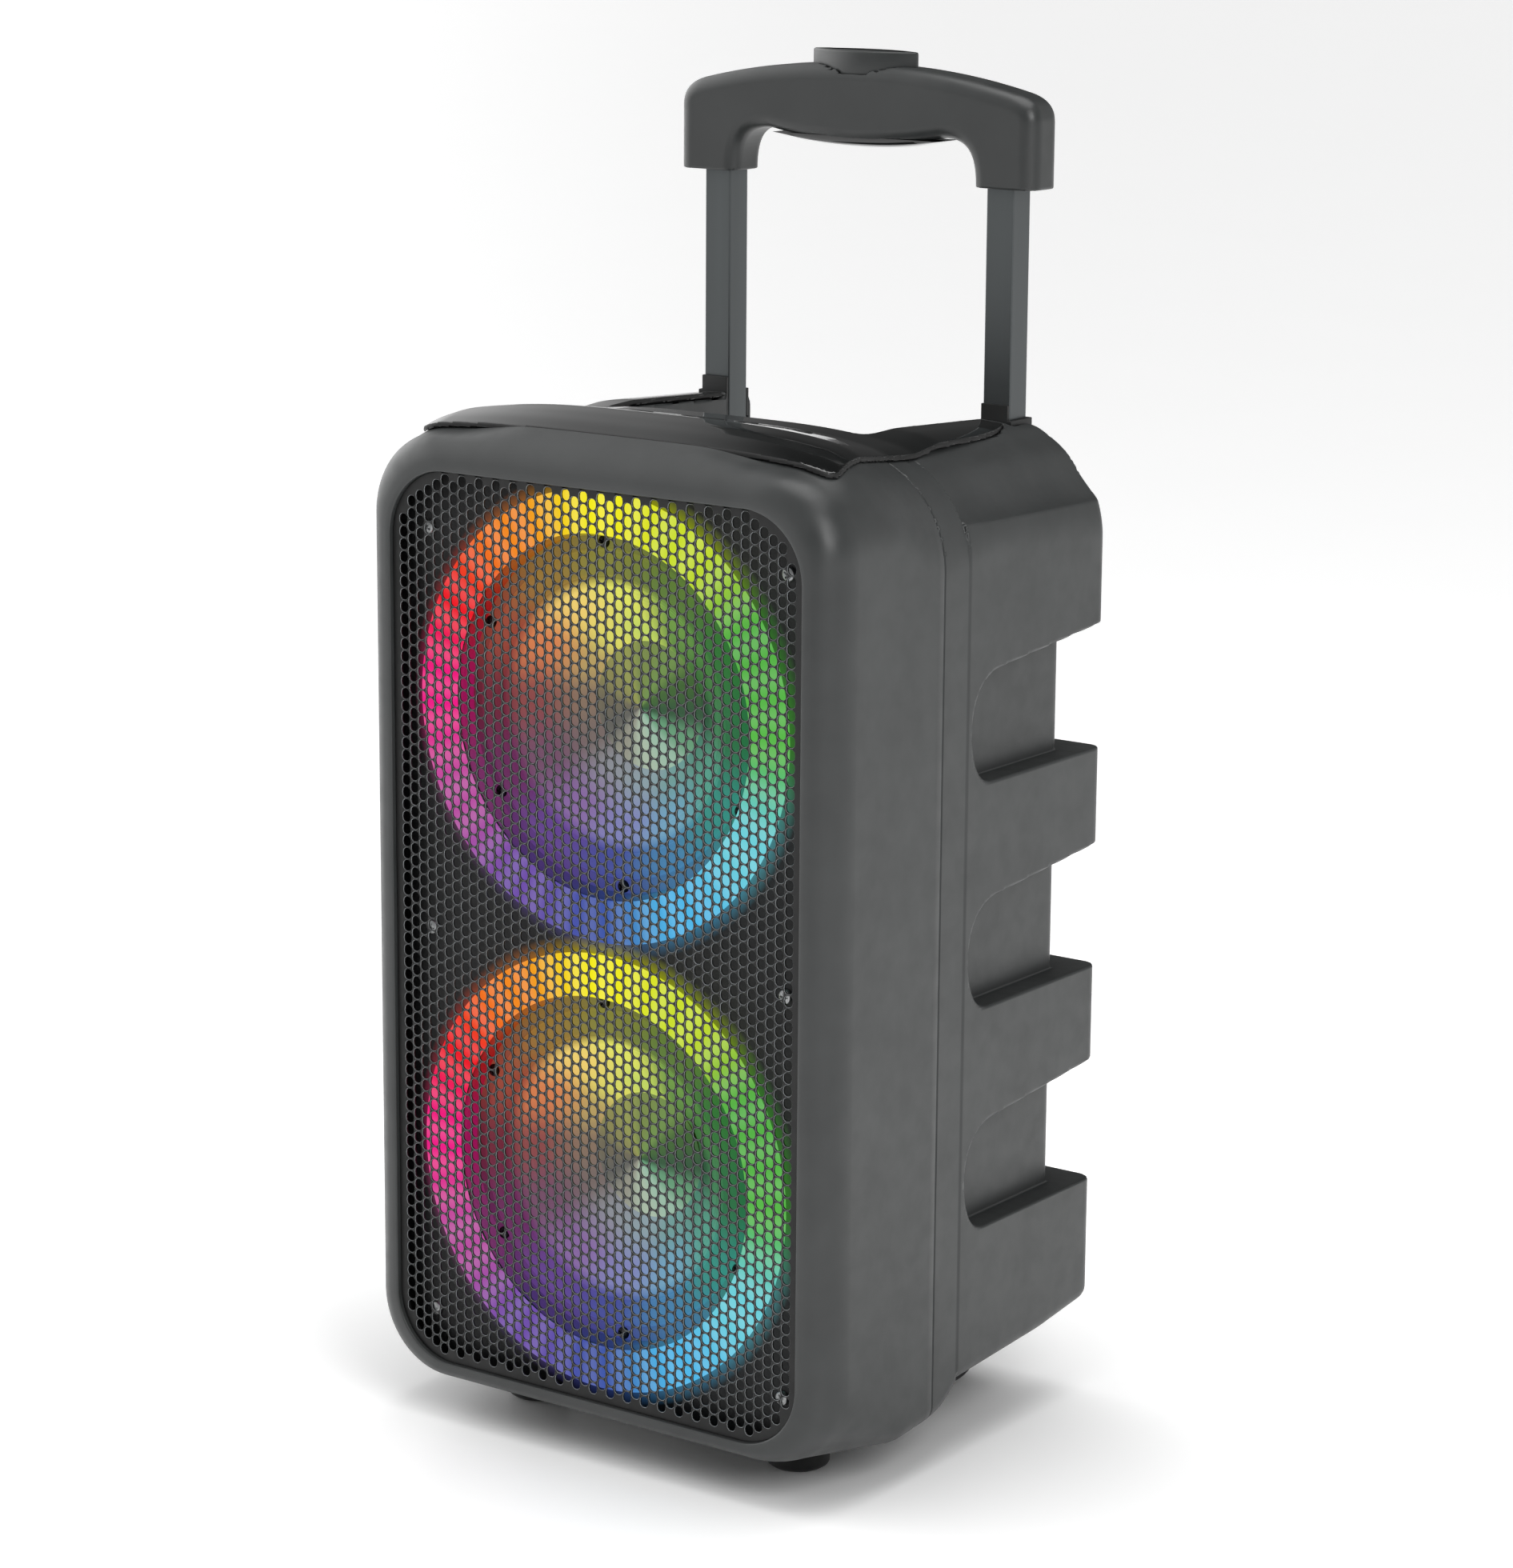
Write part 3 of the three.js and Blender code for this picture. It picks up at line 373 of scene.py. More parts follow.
def gradient(field, point, step=0.04):
    slopes = []
    for axis in range(3):
        ahead, behind = point.copy(), point.copy()
        ahead[axis] += step
        behind[axis] -= step
        slopes.append((field(ahead) - field(behind)) / (2 * step))
    return np.stack(slopes)


def settle(field, point, passes, limit):
    """Move points straight onto the surface."""
    for _ in range(passes):
        slope = gradient(field, point)
        size = np.maximum((slope ** 2).sum(0), 0.05)
        shift = slope * (field(point) / size)
        length = np.maximum(np.sqrt((shift ** 2).sum(0)), 1e-9)
        point = point - shift * np.minimum(1, limit / length)
    return point


def even_out(point, quads):
    """Each vertex moves half way to the mean of its neighbours."""
    total = np.zeros_like(point)
    count = np.zeros(point.shape[1])
    for a in range(4):
        for b in ((a + 1) % 4, (a - 1) % 4):
            for axis in range(3):
                total[axis] += np.bincount(quads[:, a], point[axis][quads[:, b]], len(count))
            count += np.bincount(quads[:, a], minlength=len(count))
    return (point + total / count) / 2


def field_mesh(name, field, low, high, step):
    """A mesh of quads on the zero surface of a field, with the field's own normals."""
    values, start = sample_field(field, np.array(low, float), high, step)
    place, quads = surface_net(values)
    point = (place * step + start).T
    point = settle(field, point, 3, step * 0.6)
    point = even_out(point, quads)
    point = settle(field, point, 3, step * 0.5)
    normals = gradient(field, point)
    normals /= np.maximum(np.sqrt((normals ** 2).sum(0)), 1e-9)
    mesh = bpy.data.meshes.new(name)
    mesh.vertices.add(point.shape[1])
    mesh.vertices.foreach_set("co", (point.T * MM).astype(np.float32).ravel())
    mesh.loops.add(quads.size)
    mesh.loops.foreach_set("vertex_index", quads.astype(np.int32).ravel())
    mesh.polygons.add(len(quads))
    mesh.polygons.foreach_set("loop_start", np.arange(0, quads.size, 4, dtype=np.int32))
    mesh.update(calc_edges=True)
    mesh.polygons.foreach_set("use_smooth", np.ones(len(quads), bool))
    mesh.normals_split_custom_set_from_vertices(normals.T.astype(np.float32))
    return mesh


# ---------------------------------------------------------------- mesh helpers


def smooth(mesh, angle=35):
    """Smooth faces, with edges sharper than the angle kept crisp."""
    work = bmesh.new()
    work.from_mesh(mesh)
    bmesh.ops.remove_doubles(work, verts=work.verts, dist=1e-6)
    bmesh.ops.recalc_face_normals(work, faces=work.faces)
    for face in work.faces:
        face.smooth = True
    for edge in work.edges:
        edge.smooth = len(edge.link_faces) == 2 and edge.calc_face_angle() < math.radians(angle)
    work.to_mesh(mesh)
    work.free()
    return mesh


def mesh_from(name, points, faces, angle=35):
    mesh = bpy.data.meshes.new(name)
    scaled = (np.array(points, float) * MM).tolist()
    mesh.from_pydata(scaled, [], [tuple(map(int, face)) for face in faces])
    mesh.validate()
    return smooth(mesh, angle)


def piece(name, mesh, finish, body, stands_for=()):
    """Put a mesh in the scene as a named piece of the object."""
    obj = bpy.data.objects.new(name, mesh)
    bpy.context.scene.collection.objects.link(obj)
    if not mesh.materials:
        mesh.materials.append(finish)
    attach(obj, body)
    if stands_for:
        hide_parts(*stands_for)
    return obj


def stand_in(node, mesh, finish):
    """A finer piece in the place of one CAD node, on its body and with the given finish."""
    return piece(f"{node}_skin", mesh, finish, BODY_OF[node], (node,))


def skin(rings, joined=True, wrap=False):
    """Points and quads of a row of matching rings; wrap joins the last ring to the first."""
    count = len(rings[0])
    points = np.concatenate([np.array(ring, float) for ring in rings])
    faces = []
    rows = len(rings) if wrap else len(rings) - 1
    for row in range(rows):
        near, far = row * count, (row + 1) % len(rings) * count
        for i in range(count if joined else count - 1):
            j = (i + 1) % count
            faces.append((near + i, near + j, far + j, far + i))
    return points, faces


def capped(rings):
    """A closed skin whose two ends are single faces."""
    points, faces = skin(rings)
    count = len(rings[0])
    faces.append(tuple(range(count))[::-1])
    faces.append(tuple(len(points) - count + i for i in range(count)))
    return points, faces


def joined(parts):
    """One (points, faces) pair from several."""
    points, faces, start = [], [], 0
    for part_points, part_faces in parts:
        points.append(np.array(part_points, float))
        faces.extend([tuple(i + start for i in face) for face in part_faces])
        start += len(part_points)
    return np.concatenate(points), faces


def joined_mesh(name, parts, angle=35):
    return mesh_from(name, *joined(parts), angle)


def filleted(points, radius, steps=4, closed=False):
    """A polyline with its corners rounded, by less where a side is short."""
    p = [np.array(q, float) for q in points]
    made = []
    for i, here in enumerate(p):
        if not closed and i in (0, len(p) - 1):
            made.append(here)
            continue
        before, after = p[i - 1], p[(i + 1) % len(p)]
        reach = min(radius, np.linalg.norm(before - here) * 0.45, np.linalg.norm(after - here) * 0.45)
        start = here + (before - here) / max(np.linalg.norm(before - here), 1e-9) * reach
        end = here + (after - here) / max(np.linalg.norm(after - here), 1e-9) * reach
        for t in np.linspace(0, 1, steps + 1):
            made.append(start * (1 - t) ** 2 + 2 * here * t * (1 - t) + end * t * t)
    return [tuple(q) for q in made]


def turned(profile, segments=96, x=0, z=0, swell=None):
    """A revolved body on an axis along Y; the profile holds (radius, y) pairs.

    swell(angle) scales the radius, for flutes and knurls.
    """
    angles = np.arange(segments) * 2 * math.pi / segments
    scale = np.ones(segments) if swell is None else np.array([swell(a) for a in angles])
    rings = []
    for radius, y in profile:
        r = max(radius, 1e-4) * (scale if radius > 1e-3 else 1)
        rings.append(np.stack([x + r * np.sin(angles), np.full(segments, y),
                               z + r * np.cos(angles)], 1))
    closed = np.allclose(profile[0], profile[-1])
    points, faces = skin(rings[:-1] if closed else rings, wrap=closed)
    if not closed:
        count = segments
        faces.append(tuple(range(count)))
        faces.append(tuple(len(points) - count + i for i in range(count))[::-1])
    return points, faces


def turned_ring(profile, segments=96, x=0, z=0):
    """A revolved body with a hole through it, whose profile closes on itself."""
    return turned([*profile, profile[0]], segments, x, z)


def moved(part, matrix):
    """A (points, faces) pair carried by a 4x4 matrix in millimetres."""
    points, faces = part
    m = np.array(matrix)
    return points @ m[:3, :3].T + m[:3, 3], faces


def prism(outline, start, end, bevel=0.0, steps=3):
    """An outline in X and Z, extruded along Y with rounded end edges."""
    p = np.array(outline, float)
    if bevel:
        ahead, behind = np.roll(p, -1, 0) - p, p - np.roll(p, 1, 0)
        normal = np.stack([ahead[:, 1] + behind[:, 1], -(ahead[:, 0] + behind[:, 0])], 1)
        normal /= np.maximum(np.linalg.norm(normal, axis=1, keepdims=True), 1e-9)
        area = np.sum(p[:, 0] * np.roll(p[:, 1], -1) - p[:, 1] * np.roll(p[:, 0], -1))
        normal *= np.sign(area)
    rows = []
    for t in np.linspace(0, math.pi / 2, steps + 1) if bevel else [0]:
        inward = bevel * (1 - math.sin(t))
        rows.append((start + bevel * (1 - math.cos(t)), inward))
    rows += [(start + end - y, inward) for y, inward in reversed(rows)]
    rings = []
    for y, inward in rows:
        q = p - normal * inward if bevel else p
        rings.append(np.stack([q[:, 0], np.full(len(q), y), q[:, 1]], 1))
    return capped(rings)


def rounded_rectangle(low, high, radius, steps=6):
    (left, bottom), (right, top) = low, high
    made = []
    for cx, cz, turn in ((right - radius, bottom + radius, -90), (right - radius, top - radius, 0),
                         (left + radius, top - radius, 90), (left + radius, bottom + radius, 180)):
        for t in np.linspace(0, 90, steps + 1):
            a = math.radians(turn + t)
            made.append((cx + radius * math.cos(a), cz + radius * math.sin(a)))
    return made


def soften(node, finish, width=0.5, segments=2, angle=30):
    """Weld and bevel a CAD node's faceted mesh with modifiers, and give it a finish."""
    obj = frame["nodes"][node]
    obj.data.materials.clear()
    obj.data.materials.append(finish)
    weld = obj.modifiers.new("weld", "WELD")
    weld.merge_threshold = 1e-5
    if width:
        bevel = obj.modifiers.new("bevel", "BEVEL")
        bevel.width = width * MM
        bevel.segments = segments
        bevel.limit_method = "ANGLE"
        bevel.angle_limit = math.radians(angle)
        bevel.harden_normals = False
    return obj


# ---------------------------------------------------------------- finishes


def linear(hex_colour):
    """A hex colour as linear RGBA."""
    values = [int(hex_colour[i:i + 2], 16) / 255 for i in (0, 2, 4)]
    return [v / 12.92 if v < 0.04045 else ((v + 0.055) / 1.055) ** 2.4 for v in values] + [1.0]


class Nodes:
    """Short ways to add nodes to a node tree."""

    def __init__(self, tree):
        self.tree = tree

    def node(self, kind, inputs=None, **settings):
        made = self.tree.nodes.new(kind)
        for name, value in settings.items():
            setattr(made, name, value)
        for name, value in (inputs or {}).items():
            if isinstance(value, bpy.types.NodeSocket):
                self.tree.links.new(value, made.inputs[name])
            else:
                made.inputs[name].default_value = value
        return made

    def math(self, operation, a, b=0.0):
        return self.node("ShaderNodeMath", {0: a, 1: b}, operation=operation).outputs[0]


class Finish(Nodes):
    """A node material round one Principled shader."""

    def __init__(self, name, colour, roughness, metallic=0.0, **sockets):
        self.material = bpy.data.materials.new(name)
        self.material.use_nodes = True
        super().__init__(self.material.node_tree)
        self.shader = self.tree.nodes["Principled BSDF"]
        self.shader.inputs["Base Color"].default_value = linear(colour)
        self.shader.inputs["Roughness"].default_value = roughness
        self.shader.inputs["Metallic"].default_value = metallic
        for socket, value in sockets.items():
            self.shader.inputs[socket.replace("_", " ")].default_value = value
        self.place = self.node("ShaderNodeTexCoord").outputs["Object"]

    def noise(self, scale, detail=3.0, place=None):
        made = self.node("ShaderNodeTexNoise", {"Vector": place or self.place, "Scale": scale,
                                                "Detail": detail})
        return made.outputs["Fac"]

    def ranged(self, value, low, high, start=0.3, end=0.7):
        made = self.node("ShaderNodeMapRange", {"Value": value, "From Min": start, "From Max": end,
                                                "To Min": low, "To Max": high})
        return made.outputs["Result"]

    def mixed(self, share, first, second):
        made = self.node("ShaderNodeMix", {0: share}, data_type="RGBA")
        for socket, value in ((made.inputs[6], first), (made.inputs[7], second)):
            if isinstance(value, bpy.types.NodeSocket):
                self.tree.links.new(value, socket)
            else:
                socket.default_value = linear(value)
        return made.outputs[2]

    def set(self, socket, value):
        self.tree.links.new(value, self.shader.inputs[socket])
        return self

    def bump(self, height, strength, distance):
        made = self.node("ShaderNodeBump", {"Height": height, "Strength": strength,
                                            "Distance": distance * MM})
        return self.set("Normal", made.outputs["Normal"])


def moulded(name, colour, other, roughness, grain=1400, depth=0.02, spread=0.05, **sockets):
    """Moulded plastic: faint cloudy tone, uneven sheen and a fine spark-eroded grain."""
    made = Finish(name, colour, roughness, **sockets)
    cloud = made.noise(26, 4)
    made.set("Base Color", made.mixed(made.ranged(cloud, 0, 1), colour, other))
    made.set("Roughness", made.ranged(made.noise(90, 4), roughness - spread, roughness + spread))
    return made.bump(made.noise(grain, 2), 0.35, depth).material


def gloss_plastic(name, colour, other, roughness=0.06):
    """Polished plastic with faint polishing haze and a slow ripple of the moulding."""
    made = Finish(name, colour, roughness, Coat_Weight=0.5, Coat_Roughness=0.03)
    made.set("Base Color", made.mixed(made.ranged(made.noise(30, 3), 0, 1), colour, other))
    made.set("Roughness", made.ranged(made.noise(60, 5), roughness, roughness + 0.06))
    return made.bump(made.noise(9, 1), 0.12, 0.05).material


def metal(name, colour, other, roughness, stretch=(1, 1, 60), metallic=1.0, depth=0.01):
    """Brushed or rolled metal with streaks drawn out along the short stretch axis."""
    made = Finish(name, colour, roughness, metallic)
    mapped = made.node("ShaderNodeMapping", {"Vector": made.place, "Scale": stretch})
    streak = made.noise(30, 5, mapped.outputs["Vector"])
    made.set("Base Color", made.mixed(made.ranged(streak, 0, 1), colour, other))
    made.set("Roughness", made.ranged(streak, roughness - 0.06, roughness + 0.08))
    return made.bump(streak, 0.25, depth).material


def rubber_like(name, colour, other, roughness=0.72):
    made = Finish(name, colour, roughness, Sheen_Weight=0.12, Sheen_Roughness=0.5)
    made.set("Base Color", made.mixed(made.ranged(made.noise(60, 5), 0, 1), colour, other))
    made.set("Roughness", made.ranged(made.noise(150, 3), roughness - 0.08, roughness + 0.06))
    return made.bump(made.noise(700, 3), 0.4, 0.05).material


def circuit_green(name):
    """Solder mask with pale tracks and pads."""
    made = Finish(name, "1F5A38", 0.42)
    cells = made.node("ShaderNodeTexVoronoi", {"Vector": made.place, "Scale": 240.0},
                      feature="DISTANCE_TO_EDGE")
    track = made.ranged(cells.outputs["Distance"], 1, 0, 0.02, 0.06)
    made.set("Base Color", made.mixed(track, "17492C", "3C7F52"))
    return made.bump(track, 0.3, 0.03).material


def wound_copper(name):
    made = Finish(name, "B0713A", 0.35, 1.0)
    turns = made.node("ShaderNodeTexWave", {"Vector": made.place, "Scale": 520.0},
                      bands_direction="Y")
    made.set("Base Color", made.mixed(turns.outputs["Fac"], "8E5526", "D08B4C"))
    return made.bump(turns.outputs["Fac"], 0.6, 0.1).material


def woven_cloth(name, colour, other):
    made = Finish(name, colour, 0.9, Sheen_Weight=0.3)
    across = made.node("ShaderNodeTexWave", {"Vector": made.place, "Scale": 420.0},
                       bands_direction="X")
    along = made.node("ShaderNodeTexWave", {"Vector": made.place, "Scale": 420.0},
                      bands_direction="Z")
    weave = made.math("MAXIMUM", across.outputs["Fac"], along.outputs["Fac"])
    made.set("Base Color", made.mixed(weave, other, colour))
    return made.bump(weave, 0.6, 0.15).material


LAMP_COUNT = 36

# The light's hue at each hour of a clock face, seen from the front.
RING_HUES = ("F5EC1C", "C9DE2E", "55B046", "59B84A", "6FD0DC", "4FB6E8",
             "3F55A6", "6F4FA8", "B950A0", "EE1C86", "ED1C24", "F28A20")
# Painted light: the ring's coloured light where it falls on the woofer's rim, cone and dust cap, by the
# hour, with painted highlights and shade.
CONE_RIM_PAINTED_LIGHT = ("8A8A3E", "62823C", "357A3A", "2C7446", "3A9688", "4A86B4",
                 "4A52A0", "6A4898", "6E2C60", "74263A", "A04A38", "9C7A38")
CONE_MID_PAINTED_LIGHT = ("E6EA66", "6E9C46", "44803E", "3C7C50", "55A08C", "74A8C4",
                 "8488BE", "8C6CA6", "76506A", "8E4A4A", "DC8250", "F6D674")
CONE_CORE_PAINTED_LIGHT = ("C6DC66", "5F8C44", "3A6E38", "2A5238", "4C8672", "70A09C",
                  "90A4AC", "90949C", "7A6C68", "8A7462", "BCA264", "E2E068")
CAP_PAINTED_LIGHT = ("8CA058", "84A85C", "4E7640", "3C6444", "74B288", "B2D8C0",
            "C4D8C0", "A8A898", "70706A", "7E7864", "9C9A60", "A8AE60")


def clock_place(finish, centre_z):
    """The share of a turn round a woofer, clockwise from six o'clock, and the distance from its axis."""
    part = finish.node("ShaderNodeSeparateXYZ", {"Vector": finish.place}).outputs
    z = finish.math("SUBTRACT", part["Z"], centre_z * MM)
    angle = finish.math("ARCTAN2", part["X"], z)
    turn = finish.math("ADD", finish.math("DIVIDE", angle, 2 * math.pi), 0.5)
    square = finish.math("ADD", finish.math("MULTIPLY", part["X"], part["X"]),
                         finish.math("MULTIPLY", z, z))
    return turn, finish.math("SQRT", square)


def clock_ramp(finish, turn, hues):
    """Colour by the hour; the ramp starts and ends at six o'clock."""
    ramp = finish.node("ShaderNodeValToRGB", {"Fac": turn})
    stops = ramp.color_ramp
    stops.interpolation = "EASE"
    while len(stops.elements) < 13:
        stops.elements.new(0.5)
    for i, stop in enumerate(stops.elements):
        stop.position = i / 12
        stop.color = linear(hues[(i + 6) % 12])
    return ramp.outputs["Color"]


def light_ring_finish(level):
    """A diffuser lit from behind, with the soft pools of its separate lamps."""
    made = Finish(f"{level}_lit_diffuser", "020202", 0.9, Specular_IOR_Level=0.1)
    turn, _ = clock_place(made, WOOFER_Z[level])
    hue = clock_ramp(made, turn, RING_HUES)
    lamps = made.math("SINE", made.math("MULTIPLY", turn, 2 * math.pi * LAMP_COUNT))
    made.set("Emission Color", made.mixed(made.ranged(lamps, 0, 0.06, -1, 1), hue, "FFFFFF"))
    made.shader.inputs["Emission Strength"].default_value = 1.0
    return made.bump(made.noise(400, 2), 0.1, 0.05).material


def ring_light_painted_finish(name, level, rows, base, roughness, strength=1.0, grain=900):
    """A surface with the light ring's coloured light painted on as emission, painted highlights and
    shade included; rows hold (radius, hues) pairs from the middle out.
    """
    made = Finish(name, base, roughness, Specular_IOR_Level=0.2)
    turn, radius = clock_place(made, WOOFER_Z[level])
    colour = clock_ramp(made, turn, rows[0][1])
    for (near, _), (far, hues) in zip(rows, rows[1:]):
        share = made.ranged(radius, 0, 1, near * MM, far * MM)
        colour = made.mixed(share, colour, clock_ramp(made, turn, hues))
    made.tree.links.new(colour, made.shader.inputs["Emission Color"])
    made.shader.inputs["Emission Strength"].default_value = strength
    return made.bump(made.noise(grain, 3), 0.3, 0.04).material


def baffle_finish():
    """Black painted board with painted light spill: emission in each ring's colour, painted on close to
    each ring.
    """
    made = Finish("lit_baffle", "0B0C0C", 0.55)
    total = None
    for level in LEVELS:
        turn, radius = clock_place(made, WOOFER_Z[level])
        hue = clock_ramp(made, turn, RING_HUES)
        # Painted light spill, fading out just beyond each ring's outer edge.
        near = made.ranged(radius, 0.42, 0, (RING_OUTER - 2) * MM, (RING_OUTER + 9) * MM)
        lit = made.mixed(near, "000000", hue)
        total = lit if total is None else made.node(
            "ShaderNodeMix", {0: 1.0, 6: total, 7: lit}, data_type="RGBA",
            blend_type="ADD").outputs[2]
    made.tree.links.new(total, made.shader.inputs["Emission Color"])
    made.shader.inputs["Emission Strength"].default_value = 0.8
    speckle = made.noise(900, 2)
    made.set("Base Color", made.mixed(made.ranged(speckle, 0, 1), "060707", "16181A"))
    return made.bump(speckle, 0.4, 0.08).material


SHELL = moulded("shell_plastic", "2C2E2E", "343636", 0.42)
HANDLE = moulded("handle_plastic", "2A2C2C", "303232", 0.38)
BLACK = moulded("black_plastic", "0C0D0D", "141616", 0.5)
SOCKET = moulded("socket_plastic", "0A0A0B", "101112", 0.34)
GLOSS = gloss_plastic("gloss_black", "0B0C0C", "101212")
# Painted shade: a darker, matte black for the top panel's side faces, standing in for the shadow along
# its edge.
PANEL_EDGE_PAINTED_SHADE = moulded("panel_edge_painted_shade", "050505", "080808", 0.6)
PLATE = gloss_plastic("plate_black", "0D0E0E", "151717", 0.22)
POST_METAL = metal("post_metal", "4A4D4E", "565A5B", 0.34, (1, 1, 0.02), 0.7)
STEEL = metal("zinc_steel", "8B8F92", "A4A8AB", 0.34)
CHROME = metal("nickel", "B4B7BA", "CDD0D2", 0.2)
SCREW_ZINC = metal("screw_zinc", "A9ABAC", "C9CBCB", 0.4, (3, 3, 3))
SCREW_BLACK = metal("screw_black", "101112", "1C1D1E", 0.35, (3, 3, 3), 0.6)
GRILLE_BLACK = metal("grille_paint", "050505", "090A0A", 0.5, (4, 4, 4), 0.2)
# Painted highlight: a lighter metal on each hole's front chamfer stands in for light catching the hole
# rims.
GRILLE_PAINTED_HIGHLIGHT = metal("grille_edge_painted_highlight", "6E7172", "868A8C", 0.42, (4, 4, 4), 0.6)
RUBBER = rubber_like("black_rubber", "111212", "191A1A")
TYRE = rubber_like("tyre_rubber", "0F1010", "171818", 0.66)
FERRITE = rubber_like("ferrite", "26272A", "303236", 0.5)
BOARD = circuit_green("circuit_board")
COPPER = wound_copper("copper_winding")
CLOTH = woven_cloth("spider_cloth", "8A6A35", "5E4520")
WRAP = gloss_plastic("battery_wrap", "2B5FA8", "3A70BA", 0.3)


# ---------------------------------------------------------------- camera, light and floor


def place_camera():
    azimuth, elevation, roll = [math.radians(v) for v in (35.83, 12.75, 0.39)]
    back = Vector((math.sin(azimuth) * math.cos(elevation),
                   -math.cos(azimuth) * math.cos(elevation), math.sin(elevation)))
    level = Vector((math.cos(azimuth), math.sin(azimuth), 0))
    above = back.cross(level)
    right = level * math.cos(roll) + above * math.sin(roll)
    up = above * math.cos(roll) - level * math.sin(roll)
    lens = bpy.data.cameras.new("camera")
    lens.lens = 102.5
    lens.clip_end = 60
    camera = bpy.data.objects.new("camera", lens)
    turn = Matrix((right, up, back)).transposed().to_4x4()
    camera.matrix_world = Matrix.Translation((1.45653, -1.99768, 0.92614)) @ turn
    bpy.context.scene.collection.objects.link(camera)
    bpy.context.scene.camera = camera


# Each soft light of the surroundings: direction, where its edge starts and ends, strength.
SOFT_LIGHTS = (
    ((-1.0, 0.0, 0.1), 0.55, 0.98, 2.6),
    ((0.585, 0.81, 0.0), 0.55, 0.98, 0.5),
    ((-0.5, -0.6, 0.6), 0.55, 0.98, 0.5),
)
SURROUND_LIGHT = 0.06


def light_the_scene():
    world = bpy.data.worlds.new("studio")
    bpy.context.scene.world = world
    world.use_nodes = True
    made = Nodes(world.node_tree)
    made.tree.nodes.clear()
    direction = made.node("ShaderNodeTexCoord").outputs["Generated"]
    total = SURROUND_LIGHT
    for towards, start, end, strength in SOFT_LIGHTS:
        dot = made.node("ShaderNodeVectorMath",
                        {0: direction, 1: Vector(towards).normalized()}, operation="DOT_PRODUCT")
        share = made.node("ShaderNodeMapRange",
                          {"Value": dot.outputs["Value"], "From Min": start, "From Max": end,
                           "To Min": 0.0, "To Max": strength}, interpolation_type="SMOOTHSTEP")
        total = made.math("ADD", share.outputs["Result"], total)
    lit = made.node("ShaderNodeBackground", {"Color": linear("FFFFFF"), "Strength": total})
    seen = made.node("ShaderNodeBackground", {"Color": linear("FFFFFF"), "Strength": 1.0})
    camera_ray = made.node("ShaderNodeLightPath").outputs["Is Camera Ray"]
    chosen = made.node("ShaderNodeMixShader",
                       {0: camera_ray, 1: lit.outputs[0], 2: seen.outputs[0]})
    made.node("ShaderNodeOutputWorld", {"Surface": chosen.outputs[0]})
    area_light("key", (1.9, -1.0, 1.6), (0, 0, 0.35), 1.2, 28)
    area_light("top", (0.2, 0.1, 2.4), (0, 0, 0.3), 1.6, 26)
    bpy.context.scene.view_settings.view_transform = "Standard"
    bpy.context.scene.view_settings.look = "None"


def area_light(name, place, aim, size, power):
    lamp = bpy.data.lights.new(name, "AREA")
    lamp.energy = power
    lamp.size = size
    obj = bpy.data.objects.new(name, lamp)
    obj.location = place
    obj.rotation_euler = (Vector(aim) - Vector(place)).to_track_quat("-Z", "Y").to_euler()
    bpy.context.scene.collection.objects.link(obj)


def lay_floor():
    """A pale floor, large enough to fill the view, with a faint gloss and a painted glow that ambient
    occlusion dims into a painted contact shadow near the object.
    """
    rings = [[(r * math.cos(a), r * math.sin(a), 0) for a in np.arange(96) * math.pi / 48]
             for r in (1, 300, 900, 2500, 8000, 25000)]
    points, faces = skin(rings)
    faces.append(tuple(range(96)))
    made = Finish("pale_floor", "F4F4F4", 0.3)
    made.set("Base Color", made.mixed(made.noise(3, 2), "F2F2F2", "F6F6F6"))
    made.shader.inputs["Emission Color"].default_value = linear("FFFFFF")
    # Painted contact shadow: the floor's glow fades where ambient occlusion finds the object near.
    open_air = made.node("ShaderNodeAmbientOcclusion", {"Distance": 0.35}).outputs["AO"]
    made.set("Emission Strength", made.math("MULTIPLY", made.math("POWER", open_air, 2.0), 0.6))
    mesh = mesh_from("floor", points, faces)
    mesh.materials.append(made.material)
    floor = bpy.data.objects.new("floor", mesh)
    bpy.context.scene.collection.objects.link(floor)


place_camera()
light_the_scene()
lay_floor()

# ---------------------------------------------------------------- cutting helpers


def taken_out(mesh, cutters):
    """The mesh with the closed cutters' volume removed."""
    scene = bpy.context.scene
    made = [bpy.data.objects.new("work", data) for data in (mesh, cutters)]
    for obj in made:
        scene.collection.objects.link(obj)
    body, tool = made
    cut = body.modifiers.new("cut", "BOOLEAN")
    cut.object = tool
    cut.operation = "DIFFERENCE"
    cut.solver = "MANIFOLD"
    graph = bpy.context.evaluated_depsgraph_get()
    result = bpy.data.meshes.new_from_object(body.evaluated_get(graph))
    for obj in made:
        bpy.data.objects.remove(obj)
    result.materials.clear()
    return smooth(result)


def turned_upright(profile, segments, x, y):
    """A revolved body on an upright axis; the profile holds (radius, z) pairs."""
    turn = Matrix.Translation((x, y, 0)) @ Matrix.Rotation(math.pi / 2, 4, "X")
    return moved(turned(profile, segments), turn)


BUTTON_TILT = math.radians(9.5)
BUTTON_SPOTS = [middle_mm(f"top_button_{i}") for i in range(1, 6)]
BUTTON_Y = -42


def button_cylinder(profile, x, segments=48):
    """A revolved body standing on the sloping top at a button's place; heights are from the top."""
    turn = (Matrix.Translation((x, BUTTON_Y, deck(x, BUTTON_Y - FRONT)))
            @ Matrix.Rotation(math.pi / 2 - BUTTON_TILT, 4, "X"))
    return moved(turned(profile, segments), turn)


# ---------------------------------------------------------------- front bezel

BEZEL_WALL = 4
LEDGE = 2
LEDGE_FRONT = GRILLE_BACK + 0.3
CAVITY_FRONT = -129


